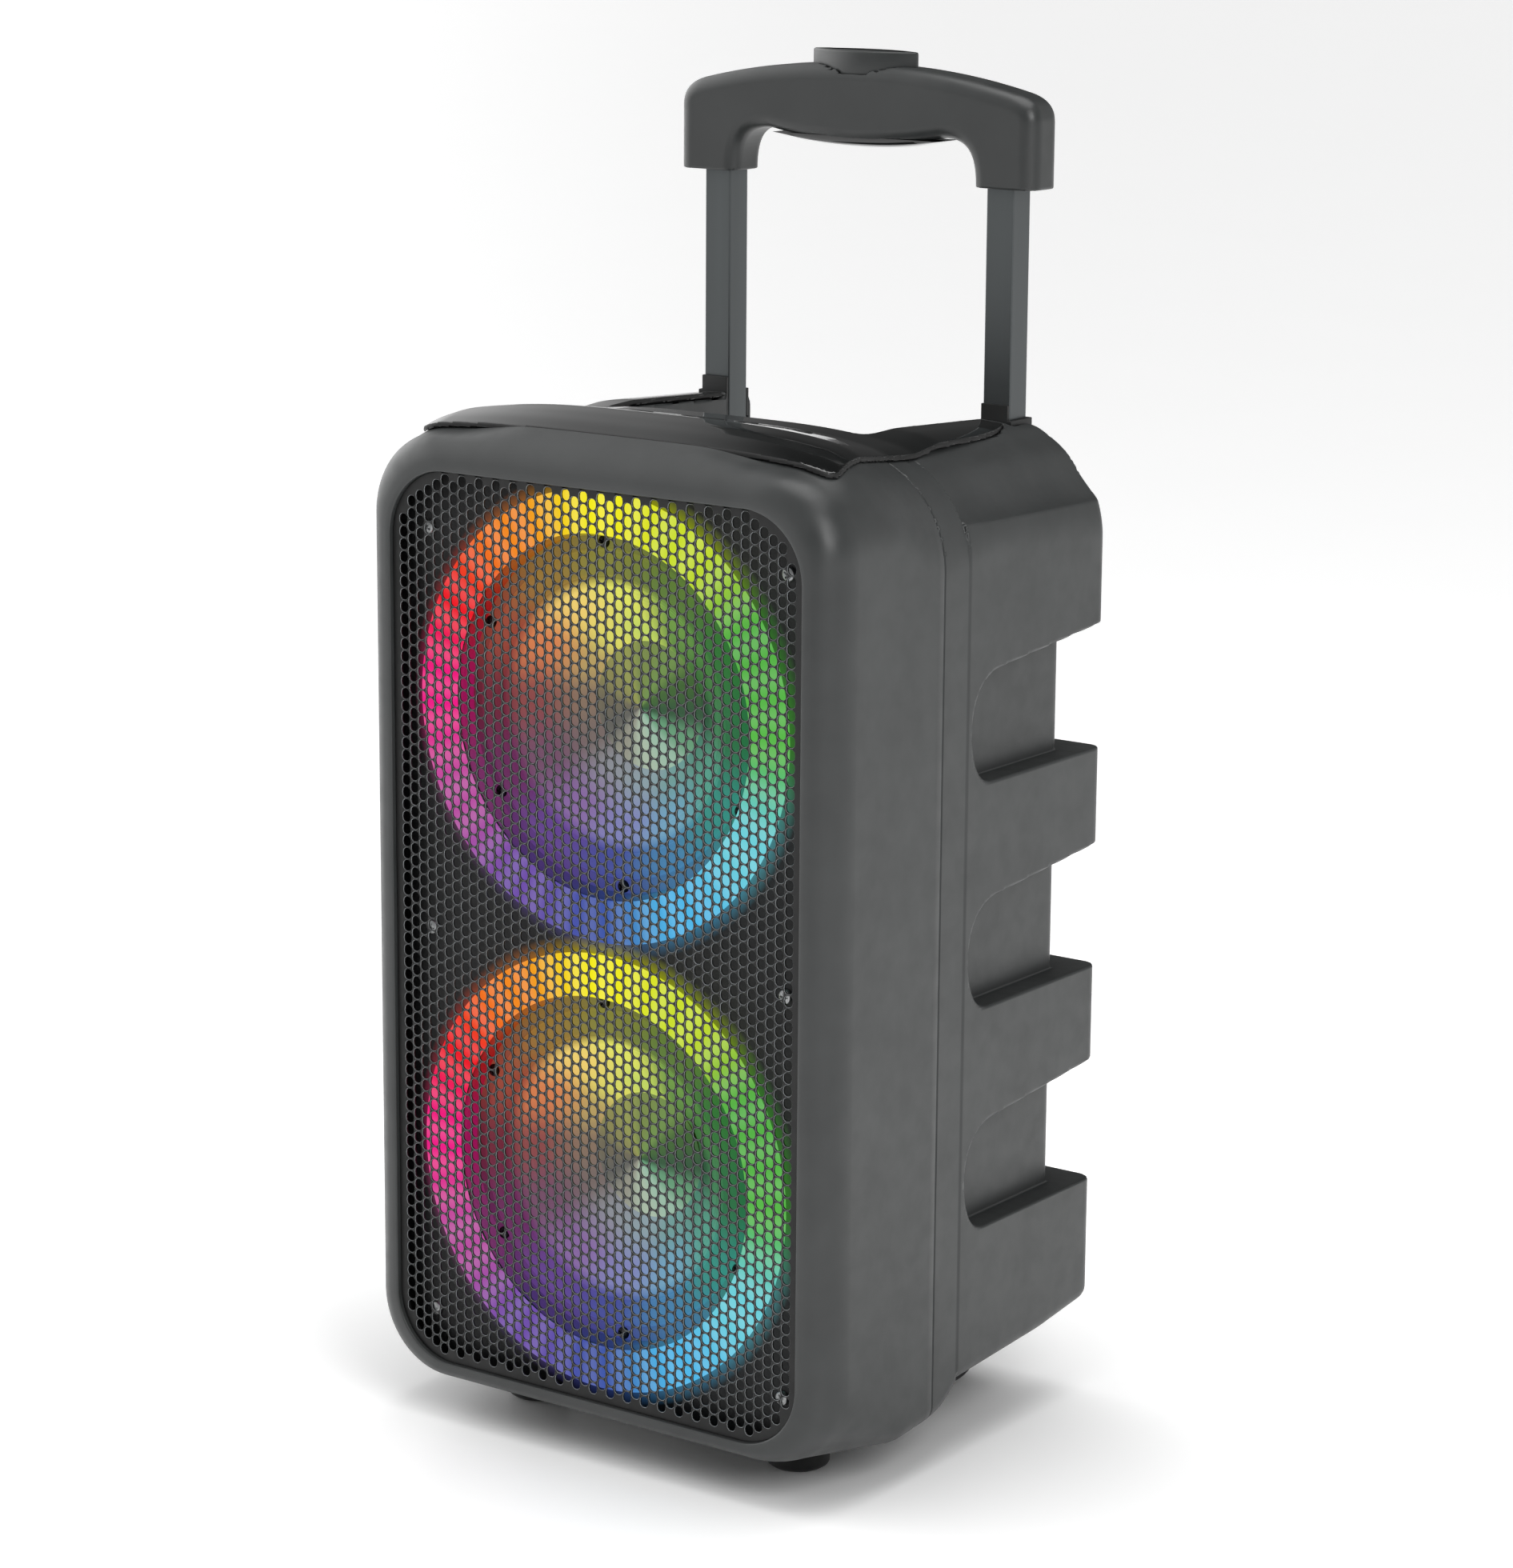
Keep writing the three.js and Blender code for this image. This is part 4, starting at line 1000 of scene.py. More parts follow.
def full_ring(half, y):
    """A closed ring at y from its right half, which runs from bottom middle to top middle."""
    right = np.array(half)
    left = right[-2:0:-1] * (-1, 1)
    both = np.concatenate([right, left])
    return np.stack([both[:, 0], np.full(len(both), y), both[:, 1]], 1)


def half_outline(low, side, corner, shoulder, top):
    """The right half of an outline from its bottom corner, side, shoulder arc and top."""
    (corner_x, corner_z, corner_radius) = corner
    (shoulder_x, shoulder_z, shoulder_radius, end) = shoulder
    points = [(x, low) for x in np.linspace(0, corner_x, 24, endpoint=False)]
    for a in np.linspace(0, math.pi / 2, 16, endpoint=False):
        points.append((corner_x + corner_radius * math.sin(a), corner_z - corner_radius * math.cos(a)))
    points += [(side, z) for z in np.linspace(corner_z, shoulder_z, 40, endpoint=False)]
    for a in np.linspace(0, end, 20, endpoint=False):
        points.append((shoulder_x + shoulder_radius * math.cos(a),
                       shoulder_z + shoulder_radius * math.sin(a)))
    for x in np.linspace(shoulder_x + shoulder_radius * math.cos(end), 0, 40):
        points.append((x, top(x)))
    return points


def cabinet_ring(y, inset=0.0):
    """The bezel's cross-section at y, inset mm inside its outer surface."""
    depth = y - FRONT
    width = at_depth(WIDTH_ROW, depth) - inset
    low = at_depth(BOTTOM_ROW, depth) + inset
    corner = at_depth(BOTTOM_RADIUS_ROW, depth) - inset
    shoulder = [at_depth(row, depth) for row in
                (SHOULDER_X_ROW, SHOULDER_Z_ROW, TOP_RADIUS_ROW, SHOULDER_END_ROW)]
    shoulder[2] -= inset
    half = half_outline(low, width, (width - corner, low + corner, corner), shoulder,
                        lambda x: deck(x, depth) - lowering(x, depth) - inset)
    return full_ring(half, y)


def opening_ring(y, grow):
    """The grille opening's outline at y, grown outwards."""
    radius = OPENING_RADIUS + grow
    side, low, top = OPENING_HALF + grow, OPENING_BOTTOM - grow, OPENING_TOP + grow
    half = half_outline(low, side, (side - radius, low + radius, radius),
                        (side - radius, top - radius, radius, math.pi / 2), lambda x: top)
    return full_ring(half, y)


def front_bezel():
    lip = 1.1
    rings = [opening_ring(LEDGE_FRONT, -LEDGE), opening_ring(LEDGE_FRONT, -LEDGE / 2),
             opening_ring(LEDGE_FRONT, 0)]
    for t in np.linspace(0, math.pi / 2, 6):
        rings.append(opening_ring(FRONT + lip * (1 - math.sin(t)), lip * (1 - math.cos(t))))
    end = SPLIT - SEAM
    rounded = [TOP_FRONT_REACH * (1 - math.cos(t)) for t in np.linspace(0, math.pi / 2, 34)]
    stations = sorted([*rounded, 23.09, 23.11, *np.linspace(52, end - FRONT - 0.5, 12)])
    rings += [cabinet_ring(FRONT + depth) for depth in stations]
    rings += [cabinet_ring(end, 0.2), cabinet_ring(end, BEZEL_WALL)]
    inner = [end - FRONT - 4, 90, 75, 60, 48, 36, 28, 23.2, 23, 18, 14, 10, CAVITY_FRONT - FRONT]
    rings += [cabinet_ring(FRONT + depth, BEZEL_WALL) for depth in inner]
    rings.append(opening_ring(CAVITY_FRONT, -LEDGE))
    blank = mesh_from("bezel", *skin(rings, wrap=True))
    holes = [button_cylinder([(7.5, -16), (7.5, 8)], spot[0]) for spot in BUTTON_SPOTS]
    return taken_out(blank, joined_mesh("button_holes", holes))


stand_in("front_bezel", front_bezel(), SHELL)

# ---------------------------------------------------------------- rear shell

PANEL_OUTLINE = [(126, -112.4), *bezier((126, -112.4), (141, -111), (140, -101), steps=10),
                 (122, -31), (123, -6), (120, 50),
                 *bezier((120, 50), (117, 92), (106, 107), steps=12), (89.2, 107), (89.2, 4),
                 *bezier((89.2, 4), (89.2, -6.5), (78.7, -6.5), steps=10)]
PANEL_PLAN = Outline(PANEL_OUTLINE + [(-x, y) for x, y in reversed(PANEL_OUTLINE)])


def section_field(point, floor_row, lift):
    """The cabinet's cross-section at each depth, with its top raised by lift."""
    x, depth, z = np.abs(point[0]), point[1] - FRONT, point[2]
    width = at_depth(WIDTH_ROW, depth)
    radius = at_depth(TOP_RADIUS_ROW, depth)
    u = x - at_depth(SHOULDER_X_ROW, depth)
    v = z - at_depth(SHOULDER_Z_ROW, depth) - lift
    end = at_depth(SHOULDER_END_ROW, depth)
    tilt = 1 / np.sqrt(1 + deck_slope(x, depth) ** 2)
    top = (z - deck(x, depth) + LOWERED - lift) * tilt
    arc = np.hypot(u, v) - radius
    around = np.where(v <= 0, x - width, np.where(np.arctan2(v, u) <= end, arc, top))
    low = at_depth(floor_row, depth) - z
    corner = at_depth(BOTTOM_RADIUS_ROW, depth)
    return round_and(around, low, corner)


SCOOP_CURVE = np.array(spline([(98, 575.5), (107, 572.5), (114, 569), (120, 564.3), (132, 554.9),
                               (142, 541.3), (151, 533), (160, 529.5), (172, 528.5)], 12))
SCOOP_CURVE = np.concatenate([[(0, 606)], SCOOP_CURVE, [(200, 526)]])
SCOOP_SLOPE = np.gradient(SCOOP_CURVE[:, 1], SCOOP_CURVE[:, 0])


def scoop_field(point):
    """The room above each rear shoulder's S-shaped profile, behind the rim."""
    x, y, z = np.abs(point[0]), point[1], point[2]
    sink = -2 + 4 * (y - RIM_END) / (REAR + 5 - RIM_END)
    level = np.interp(x, SCOOP_CURVE[:, 0], SCOOP_CURVE[:, 1]) - sink
    slope = np.interp(x, SCOOP_CURVE[:, 0], SCOOP_SLOPE)
    above = (level - z) / np.sqrt(1 + slope ** 2)
    return round_and(above, RIM_END - y, 0.6)


SLOT_SIDE = Outline([(180, 0), (20, 0), *bezier((20, 0), (6, 0), (-1, 14), (-1, 30)),
                     *bezier((-1, 30), (-1, 50), (10, 61), (26, 62.5)), (180, 76.2)])
SLOT_PLAN = Outline([(200, -24), (152, -24), (145, 0), (145, 104),
                     *bezier((145, 104), (145, 110), (142, 112), (136, 112)), (128, 113),
                     *bezier((128, 113), (119, 114), (115, 122), (115, 131)), (115, 180),
                     (200, 180)])


def slot_field(point):
    """The three slots in each side, which run round the rear corners."""
    x, y, z = np.abs(point[0]), point[1], point[2]
    level = np.clip(np.floor((SLOT_TOP_LEVEL + 101 - z) / SLOT_PITCH), 0, 2)
    height = z - SLOT_TOP_LEVEL + level * SLOT_PITCH
    return round_and(SLOT_SIDE(y, height), SLOT_PLAN(x, y), 1.0)


def pocket_field(point):
    x, y, z = np.abs(point[0]), point[1], point[2]
    plan = round_and(x - POCKET_HALF, POCKET_FRONT - y, POCKET_RADIUS)
    return round_and(plan, POCKET_FLOOR - z, 3)


def post_well_field(point):
    """The well that the post drops into, wider below, and the slant beside it."""
    x, y, z = np.abs(point[0]), point[1], point[2]
    front, rear = POST_LOW[1], POST_HIGH[1]
    upper = block((x, y, z), (POST_LOW[0] - 0.3, front - 2.8, 480), (POST_HIGH[0] + 3, rear + 2.6, 640))
    lower = block((x, y, z), (84, front - 4.7, 325), (113, rear + 2.8, 527))
    slant = np.maximum((y - 113.5) * -1, ((130.5 - y) * 21.5 - (z - 547.5) * 17) / 27.41)
    slant = np.maximum(slant, 547.5 - z)
    slant = np.maximum(slant, block((x, y, z), (86, 113, 540), (89.5, 150, 640)))
    return np.minimum(np.minimum(upper, lower), slant)


def rear_recess_field(point):
    x, y, z = np.abs(point[0]), point[1], point[2]
    plan = round_and(x - 70, np.abs(z - 400) - 55, 6)
    recess = round_and(plan, 121 - y, 1.5)
    hole = block((x, y, z), (None, 108, 357), (58, 130, 443))
    return np.minimum(recess, hole)


WHEEL_X, WHEEL_Y, WHEEL_Z = middle_mm("right_wheel")
WHEEL_RADIUS = box_mm("right_wheel")[1][2] - WHEEL_Z
WHEEL_HALF = box_mm("right_wheel")[1][0] - WHEEL_X


def wheel_well_field(point):
    x, y, z = np.abs(point[0]), point[1], point[2]
    across = np.abs(x - WHEEL_X) - WHEEL_HALF - 4
    return round_and(np.hypot(y - WHEEL_Y, z - WHEEL_Z) - WHEEL_RADIUS - 4, across, 1)


def panel_seat_field(point):
    x, y, z = point
    return np.maximum(PANEL_PLAN(x, y) - 0.35, panel_level(x, y - FRONT) - SEAT - 0.2 - z)


def rear_shell_field(point):
    y = point[1]
    rim = round_and(section_field(point, BOTTOM_ROW, 0), y - RIM_END, 1.0)
    rear = round_and(section_field(point, REAR_BOTTOM_ROW, LOWERED), y - REAR, REAR_RADIUS)
    rear = round_and(rear, RIM_END - 0.3 - y, 0.6)
    body = np.minimum(rim, rear)
    body = round_and(body, SPLIT + SEAM - y, 0.2)
    body = carve(body, scoop_field(point), 0.8)
    body = carve(body, panel_seat_field(point), 0.35)
    body = carve(body, slot_field(point), 1.2)
    body = carve(body, pocket_field(point), 0.8)
    body = carve(body, post_well_field(point), 0.5)
    body = carve(body, rear_recess_field(point), 1.0)
    return carve(body, wheel_well_field(point), 1.0)


shell_mesh = field_mesh("rear_shell", rear_shell_field, (-163, SPLIT - 2, 20),
                        (163, REAR + 3, 590), 2.0)
stand_in("rear_shell", shell_mesh, SHELL)

# ---------------------------------------------------------------- top panel


def top_panel_field(point):
    x, y, z = point
    depth = y - FRONT
    level = panel_level(x, depth)
    across = (panel_level(x + 0.2, depth) - panel_level(x - 0.2, depth)) / 0.4
    tilt = 1 / np.sqrt(1 + across ** 2)
    body = round_and(PANEL_PLAN(x, y), (z - level) * tilt, 0.8)
    body = round_and(body, (level - PANEL_THICKNESS - z) * tilt, 0.3)
    top = deck(0.0, BUTTON_Y - FRONT)
    reach = (y - BUTTON_Y) * math.cos(BUTTON_TILT) - (z - top) * math.sin(BUTTON_TILT)
    for spot in BUTTON_SPOTS:
        body = carve(body, np.hypot(x - spot[0], reach) - 7.4, 0.5)
    return body


def top_panel():
    mesh = field_mesh("top_panel", top_panel_field, (-143, -115, 558), (143, 110, 590), 1.2)
    mesh.materials.append(GLOSS)
    mesh.materials.append(PANEL_EDGE_PAINTED_SHADE)
    # Faces more upright than flat take the painted shade finish.
    side = [int(abs(face.normal.z) < 0.6) for face in mesh.polygons]
    mesh.polygons.foreach_set("material_index", side)
    stand_in("top_panel", mesh, GLOSS)


top_panel()


def top_buttons():
    for i, spot in enumerate(BUTTON_SPOTS, 1):
        dish = [(0, -0.1), (3, 0.0), (5.2, 0.3), (6.2, 0.4), (6.8, 0.2), (7, -0.4)]
        part = button_cylinder([*dish, (7, -12), (0, -12)], spot[0], 64)
        stand_in(f"top_button_{i}", mesh_from(f"button_{i}", *part), BLACK)


top_buttons()

# ---------------------------------------------------------------- grille

CELL_WIDTH, CELL_HEIGHT = 12.0, 7.05
CELL_POINT, CELL_FLAT = 4.036, 1.964
HOLE_HALF_WIDTH, HOLE_HALF_HEIGHT = 2.8, 3.15
HOLE_CHAMFER = 0.22


def cell_outline():
    """A hexagon with a point at its left and right, and the middles of its sides."""
    corners = [(CELL_POINT, 0), (CELL_FLAT, CELL_HEIGHT / 2), (-CELL_FLAT, CELL_HEIGHT / 2),
               (-CELL_POINT, 0), (-CELL_FLAT, -CELL_HEIGHT / 2), (CELL_FLAT, -CELL_HEIGHT / 2)]
    points = []
    for (x0, z0), (x1, z1) in zip(corners, corners[1:] + corners[:1]):
        points += [(x0, z0), ((x0 + x1) / 2, (z0 + z1) / 2)]
    return np.array(points)


def hole_outline(grow=0.0):
    """A hexagon with well-rounded corners, one point in the direction of each cell point."""
    cell = cell_outline()
    angles = np.arctan2(cell[:, 1] / CELL_HEIGHT, cell[:, 0] / 2 / CELL_POINT)
    power = 2.5
    c, s = np.cos(angles), np.sin(angles)
    size = (np.abs(c) ** power + np.abs(s) ** power) ** (-1 / power)
    return np.stack([(HOLE_HALF_WIDTH + grow) * size * c, (HOLE_HALF_HEIGHT + grow) * size * s], 1)


def plate_edge(points, inset):
    """Signed distance outside the grille's outline and the nearest points on it."""
    half = GRILLE_HIGH[0] - inset
    low, high = GRILLE_LOW[2] + inset, GRILLE_HIGH[2] - inset
    radius = OPENING_RADIUS - inset
    middle = np.array([0, (low + high) / 2])
    core = np.array([half - radius, (high - low) / 2 - radius])
    offset = points - middle
    nearest = np.clip(offset, -core, core)
    away = offset - nearest
    length = np.maximum(np.linalg.norm(away, axis=-1, keepdims=True), 1e-9)
    square = np.abs(offset) - core - radius
    flat = np.where(length[..., 0] < 1e-6, square.max(-1), length[..., 0] - radius)
    return flat, middle + nearest + away / length * radius


def grille():
    cell, hole, lip = cell_outline(), hole_outline(), hole_outline(HOLE_CHAMFER)
    points, number, faces, painted_highlight_faces = [], {}, [], []
    edges = {}

    def vertex(x, y, z):
        key = (round(x * 500 + 0.237), round(y * 500), round(z * 500 + 0.237))
        if key not in number:
            number[key] = len(points)
            points.append((x, y, z))
        return number[key]

    columns = range(-24, 25)
    rows = range(-2, 78)
    for column in columns:
        for row in rows:
            centre = np.array([column * CELL_WIDTH / 2,
                               GRILLE_LOW[2] + (row + column % 2 / 2) * CELL_HEIGHT])
            outer = cell + centre
            outside, nearest = plate_edge(outer, 0)
            if (outside > 0).all():
                continue
            outer = np.where(outside[:, None] > 0, nearest, outer)
            front = [vertex(x, GRILLE_FRONT, z) for x, z in outer]
            back = [vertex(x, GRILLE_BACK, z) for x, z in outer]
            count = len(front)
            for i in range(count):
                j = (i + 1) % count
                if front[i] != front[j]:
                    edges[(front[i], front[j])] = (back[i], back[j])
            if (plate_edge(lip + centre, 0.7)[0] > 0).any():
                for side, turn in ((front, 1), (back, -1)):
                    face = [v for k, v in enumerate(side) if v != side[k - 1]]
                    if len(face) > 2:
                        faces.append(tuple(face[::turn]))
                continue
            rings = [front]
            for outline, y in ((lip, GRILLE_FRONT), (hole, GRILLE_FRONT + HOLE_CHAMFER),
                               (hole, GRILLE_BACK)):
                start = len(points)
                points.extend((centre[0] + x, y, centre[1] + z) for x, z in outline)
                rings.append(list(range(start, start + count)))
            rings.append(back)
            for level, (near, far) in enumerate(zip(rings, rings[1:])):
                for i in range(count):
                    j = (i + 1) % count
                    # The chamfer ring takes the painted highlight finish.
                    if level == 1:
                        painted_highlight_faces.append(len(faces))
                    faces.append((near[i], near[j], far[j], far[i]))
    for (a, b), (c, d) in edges.items():
        if (b, a) not in edges:
            faces.append((b, a, c, d))
    mesh = bpy.data.meshes.new("grille")
    mesh.from_pydata((np.array(points) * MM).tolist(), [], faces)
    mesh.materials.append(GRILLE_BLACK)
    mesh.materials.append(GRILLE_PAINTED_HIGHLIGHT)
    index = np.zeros(len(faces), np.int32)
    index[painted_highlight_faces] = 1
    mesh.polygons.foreach_set("material_index", index)
    mesh.validate()
    return mesh


stand_in("grille", grille(), GRILLE_BLACK)

# ---------------------------------------------------------------- baffle, light rings and screws


BAFFLE_REAR = box_mm("baffle")[1][1]
BAFFLE_INSET = BEZEL_WALL + 4.2
BAFFLE_ROUNDING = 0.6
BORE_RADIUS = 91
FLANGE_SEAT = -109.2


def baffle():
    """The board behind the grille, with a stepped bore for each woofer."""
    rows = ((BAFFLE_FRONT, BAFFLE_INSET + BAFFLE_ROUNDING),
            (BAFFLE_FRONT + BAFFLE_ROUNDING, BAFFLE_INSET),
            ((BAFFLE_FRONT + BAFFLE_REAR) / 2 - 0.25, BAFFLE_INSET), (BAFFLE_REAR, BAFFLE_INSET))
    rings = [cabinet_ring(y, inset) for y, inset in rows]
    wide = FLANGE_RADIUS + 0.5
    profile = [(BORE_RADIUS, BAFFLE_REAR + 10), (BORE_RADIUS, FLANGE_SEAT), (wide, FLANGE_SEAT),
               (wide, BAFFLE_FRONT - 8.5)]
    bores = [turned(profile, 128, z=WOOFER_Z[level]) for level in LEVELS]
    return taken_out(mesh_from("board", *capped(rings)), joined_mesh("bores", bores))


def pan_screw(radius, height):
    """A screw's domed head with a cross recess, its face towards -Y and its seat at y = 0."""
    head = turned([(0, 0.6), (radius * 0.8, 0.6), (radius * 0.8, 0), (radius, -0.15),
                   (radius, -height * 0.4), (radius * 0.86, -height * 0.75),
                   (radius * 0.55, -height * 0.95), (0, -height)], 40)
    slot = rounded_rectangle((-radius * 0.62, -radius * 0.14), (radius * 0.62, radius * 0.14),
                             radius * 0.1, 2)
    for turn in (0, math.pi / 2):
        arm = moved(prism(slot, -height * 1.3, -height * 0.45), Matrix.Rotation(turn, 4, "Y"))
        cut = taken_out(mesh_from("head", *head), mesh_from("arm", *arm))
        head = (np.array([v.co for v in cut.vertices]) / MM, [tuple(f.vertices) for f in cut.polygons])
    return head


def screws(name, finish, head, spots, body):
    """Copies of one screw head, each a little further round than the last."""
    parts = []
    for i, (x, y, z) in enumerate(spots):
        turn = Matrix.Translation((x, y, z)) @ Matrix.Rotation(0.5 + 1.1 * i, 4, "Y")
        parts.append(moved(head, turn))
    piece(name, joined_mesh(name, parts), finish, body)


def light_ring(z):
    low, high = box_mm("upper_light_ring")
    front, back = low[1], high[1]
    face = filleted([(RING_INNER, back), (RING_INNER, front), (RING_OUTER - 2, front),
                     (RING_OUTER, front + 1.5), (RING_OUTER, back)], 0.7)
    return turned_ring(face, 192, z=z)


stand_in("baffle", baffle(), baffle_finish())
for level in LEVELS:
    ring = mesh_from(f"{level}_ring", *light_ring(WOOFER_Z[level]))
    stand_in(f"{level}_light_ring", ring, light_ring_finish(level))
    soften(f"{level}_light_board", BOARD, 0.2)
BAFFLE_SCREW_X = 122.6
BAFFLE_SCREWS = [(x, BAFFLE_FRONT, z) for x in (BAFFLE_SCREW_X, -BAFFLE_SCREW_X)
                 for z in (518, 289, 62)]
screws("baffle_screws", SCREW_ZINC, pan_screw(4.2, 2.6), BAFFLE_SCREWS, "cabinet")

# ---------------------------------------------------------------- woofers

FLANGE_FRONT = box_mm("upper_basket")[0][1]
CONE_FRONT = box_mm("upper_cone")[0][1]
SURROUND_MIDDLE = (CONE_RADIUS + 90) / 2 + 0.6


def basket(z):
    """The pressed frame: a flange, a rear ring and four ribbed arms between them."""
    low, rear = FLANGE_FRONT, box_mm("upper_basket")[1][1]
    flange = filleted([(91.4, low + 1.6), (91.6, low), (FLANGE_RADIUS, low),
                       (FLANGE_RADIUS, -109.6), (90.6, -109.6), (88.6, -104), (87, -104),
                       (87.6, -110.4)], 0.5, 3)
    hub = filleted([(28, -63.5), (56, -63.5), (57, -62.5), (57, rear), (28, rear)], 0.4, 3)
    parts = [turned_ring(flange, 128, z=z), turned_ring(hub, 96, z=z)]
    for turn in range(4):
        rows = []
        for t in np.linspace(0, 1, 9):
            reach = 88.2 - 32.7 * t
            y = -105.2 + 42.6 * t ** 0.9
            half = 11 - 4 * t
            lift = 1.4
            rows.append([(-half, y - lift, reach), (half, y - lift, reach),
                         (half, y + 0.6, reach + 1.6), (half - 1.4, y + 0.6, reach + 1.6),
                         (half - 2, y + 0.2, reach), (-half + 2, y + 0.2, reach),
                         (-half + 1.4, y + 0.6, reach + 1.6), (-half, y + 0.6, reach + 1.6)])
        place = Matrix.Translation((0, 0, z)) @ Matrix.Rotation(turn * math.pi / 2, 4, "Y")
        parts.append(moved(capped(rows), place))
    return joined(parts)


def surround(z):
    """A half-roll with a glued lip on its outside, meeting the cone at its inner edge."""
    profile = [(91.2, FLANGE_FRONT + 0.3)]
    for a in np.linspace(0, math.pi, 25):
        profile.append((SURROUND_MIDDLE + 7 * math.cos(a), -113.6 - 6.5 * math.sin(a)))
    profile.append((CONE_RADIUS - 0.2, -113.1))
    for a in np.linspace(math.pi, 0, 17):
        profile.append((SURROUND_MIDDLE + 6.1 * math.cos(a), -112.8 - 5.6 * math.sin(a)))
    profile.append((91.2, -112.2))
    return turned_ring(profile, 144, z=z)


def cone(z):
    """A curved paper cone with ribs pressed near its rim."""
    front, back = [], []
    for t in np.linspace(0, 1, 64):
        radius = CONE_RADIUS - (CONE_RADIUS - 26) * t
        y = np.interp(radius, (26.5, 35.4, 54, CONE_RADIUS), (-68, -79, -96, CONE_FRONT))
        rim = smoothstep((radius - 63) / 2) * smoothstep((75.6 - radius) / 0.8)
        ripple = 0.42 * rim * math.sin((radius - 63) * math.pi * 2 / 2.6)
        front.append((radius, y + ripple))
        back.append((radius - 0.5, y + 1.3 + ripple))
    return turned_ring([*front, *reversed(back)], 144, z=z)


def dust_cap(z):
    """A dome glued to the cone, with a small turned-in rim."""
    low, high = box_mm("upper_dust_cap")
    edge, top = math.radians(50), low[1]
    depth = 8.5 / (1 - math.cos(edge))
    outer = [(CAP_RADIUS * math.sin(a) / math.sin(edge), top + depth * (1 - math.cos(a)))
             for a in np.linspace(0, edge, 22)]
    inner = [(r * 0.96, y + 1.2) for r, y in reversed(outer)]
    return turned([*outer, (CAP_RADIUS - 0.3, high[1] - 0.4), *inner], 128, z=z)


def rippled_spider(z):
    front, back = [], []
    for t in np.linspace(0, 1, 60):
        y = -65.0 + 0.5 * math.sin(t * 2 * math.pi * 5)
        front.append((28.4 + 21.2 * t, y - 0.25))
        back.append((28.4 + 21.2 * t, y + 0.25))
    return turned_ring([*front, *reversed(back)], 96, z=z)


def magnet(z):
    """A ferrite ring between two steel plates, with a pole piece through the middle."""
    profile = filleted([(27.5, -60), (48, -60), (48, -55), (55, -55), (55, -37), (50, -37),
                        (50, -32), (0, -32)], 0.8)
    front = filleted([(0, -64), (21.5, -64), (21.5, -37), (27.5, -37), (27.5, -60)], 0.4)
    return turned([*front[:-1], *profile], 96, z=z)


def voice_coil(z):
    profile = filleted([(23.4, -67.4), (24.4, -67.4), (24.4, -58), (25, -57.6), (25, -46.4),
                        (24.6, -46), (23.4, -46)], 0.15, 2)
    return turned_ring(profile, 96, z=z)


WOOFER_SCREW_CIRCLE = 95.4
WOOFER_SCREW_START = -4


def woofer(level):
    z = WOOFER_Z[level]
    # The basket, surround, cone and dust cap glow with the ring's light painted on as emission.
    flange = ring_light_painted_finish(f"{level}_basket", level, ((FLANGE_RADIUS, CONE_RIM_PAINTED_LIGHT),), "101112",
                           0.35, 0.68)
    rim = ring_light_painted_finish(f"{level}_surround", level, ((80, CONE_RIM_PAINTED_LIGHT),), "0C0D0D", 0.5, 0.85)
    paper = ring_light_painted_finish(f"{level}_cone", level,
                          ((44, CONE_CORE_PAINTED_LIGHT), (60, CONE_MID_PAINTED_LIGHT), (70, CONE_MID_PAINTED_LIGHT),
                           (76, CONE_RIM_PAINTED_LIGHT)), "101112", 0.45, 0.9)
    cap = ring_light_painted_finish(f"{level}_dust_cap", level, ((4, CAP_PAINTED_LIGHT), (34, CAP_PAINTED_LIGHT)), "141616", 0.3,
                        0.7)
    for node, part, finish in (("basket", basket(z), flange), ("surround", surround(z), rim),
                               ("cone", cone(z), paper), ("dust_cap", dust_cap(z), cap),
                               ("spider", rippled_spider(z), CLOTH),
                               ("magnet", magnet(z), FERRITE),
                               ("voice_coil", voice_coil(z), COPPER)):
        stand_in(f"{level}_{node}", mesh_from(f"{level}_{node}", *part), finish)
    angles = [math.radians(WOOFER_SCREW_START + 60 * k) for k in range(6)]
    spots = [(WOOFER_SCREW_CIRCLE * math.sin(a), FLANGE_FRONT, z + WOOFER_SCREW_CIRCLE * math.cos(a))
             for a in angles]
    screws(f"{level}_woofer_screws", SCREW_BLACK, WOOFER_SCREW, spots, "cabinet")


WOOFER_SCREW = pan_screw(3.6, 2.4)
for level in LEVELS:
    woofer(level)

# ---------------------------------------------------------------- trolley handle


def mirrored_outline(half):
    return [*half, *[(-x, z) for x, z in reversed(half)]]


GRIP_TOP = [(0, 766), *bezier((0, 766), (36, 766), (70, 763), (108, 754), steps=24),
            *bezier((108, 754), (116, 752), (123, 748), (123, 738), steps=16), (123, 680)]
GRIP_OUTER = Outline(mirrored_outline(GRIP_TOP))
HAND_TOP = [(0, 721.6), *bezier((0, 721.6), (20, 721.6), (40, 723.5), (60, 727), steps=16),
            *bezier((60, 727), (76, 727), (82, 720), (82, 701), steps=20), (82, 670)]
HAND_OPENING = Outline(mirrored_outline(HAND_TOP))


def lens_outline(grow, steps=28):
    """The release button's lens-shaped plan."""
    reach, bulge = 35.5 + grow, 12.5 + grow
    half = 1 + grow / 2
    front = bezier((-reach, GRIP_MIDDLE - half), (0, GRIP_MIDDLE - 2 * bulge + 1),
                   (reach, GRIP_MIDDLE - half), steps=steps)
    back = bezier((reach, GRIP_MIDDLE + half), (0, GRIP_MIDDLE + 2 * bulge - 1),
                  (-reach, GRIP_MIDDLE + half), steps=steps)
    return [(-reach, GRIP_MIDDLE - half), *front, (reach, GRIP_MIDDLE + half), *back]


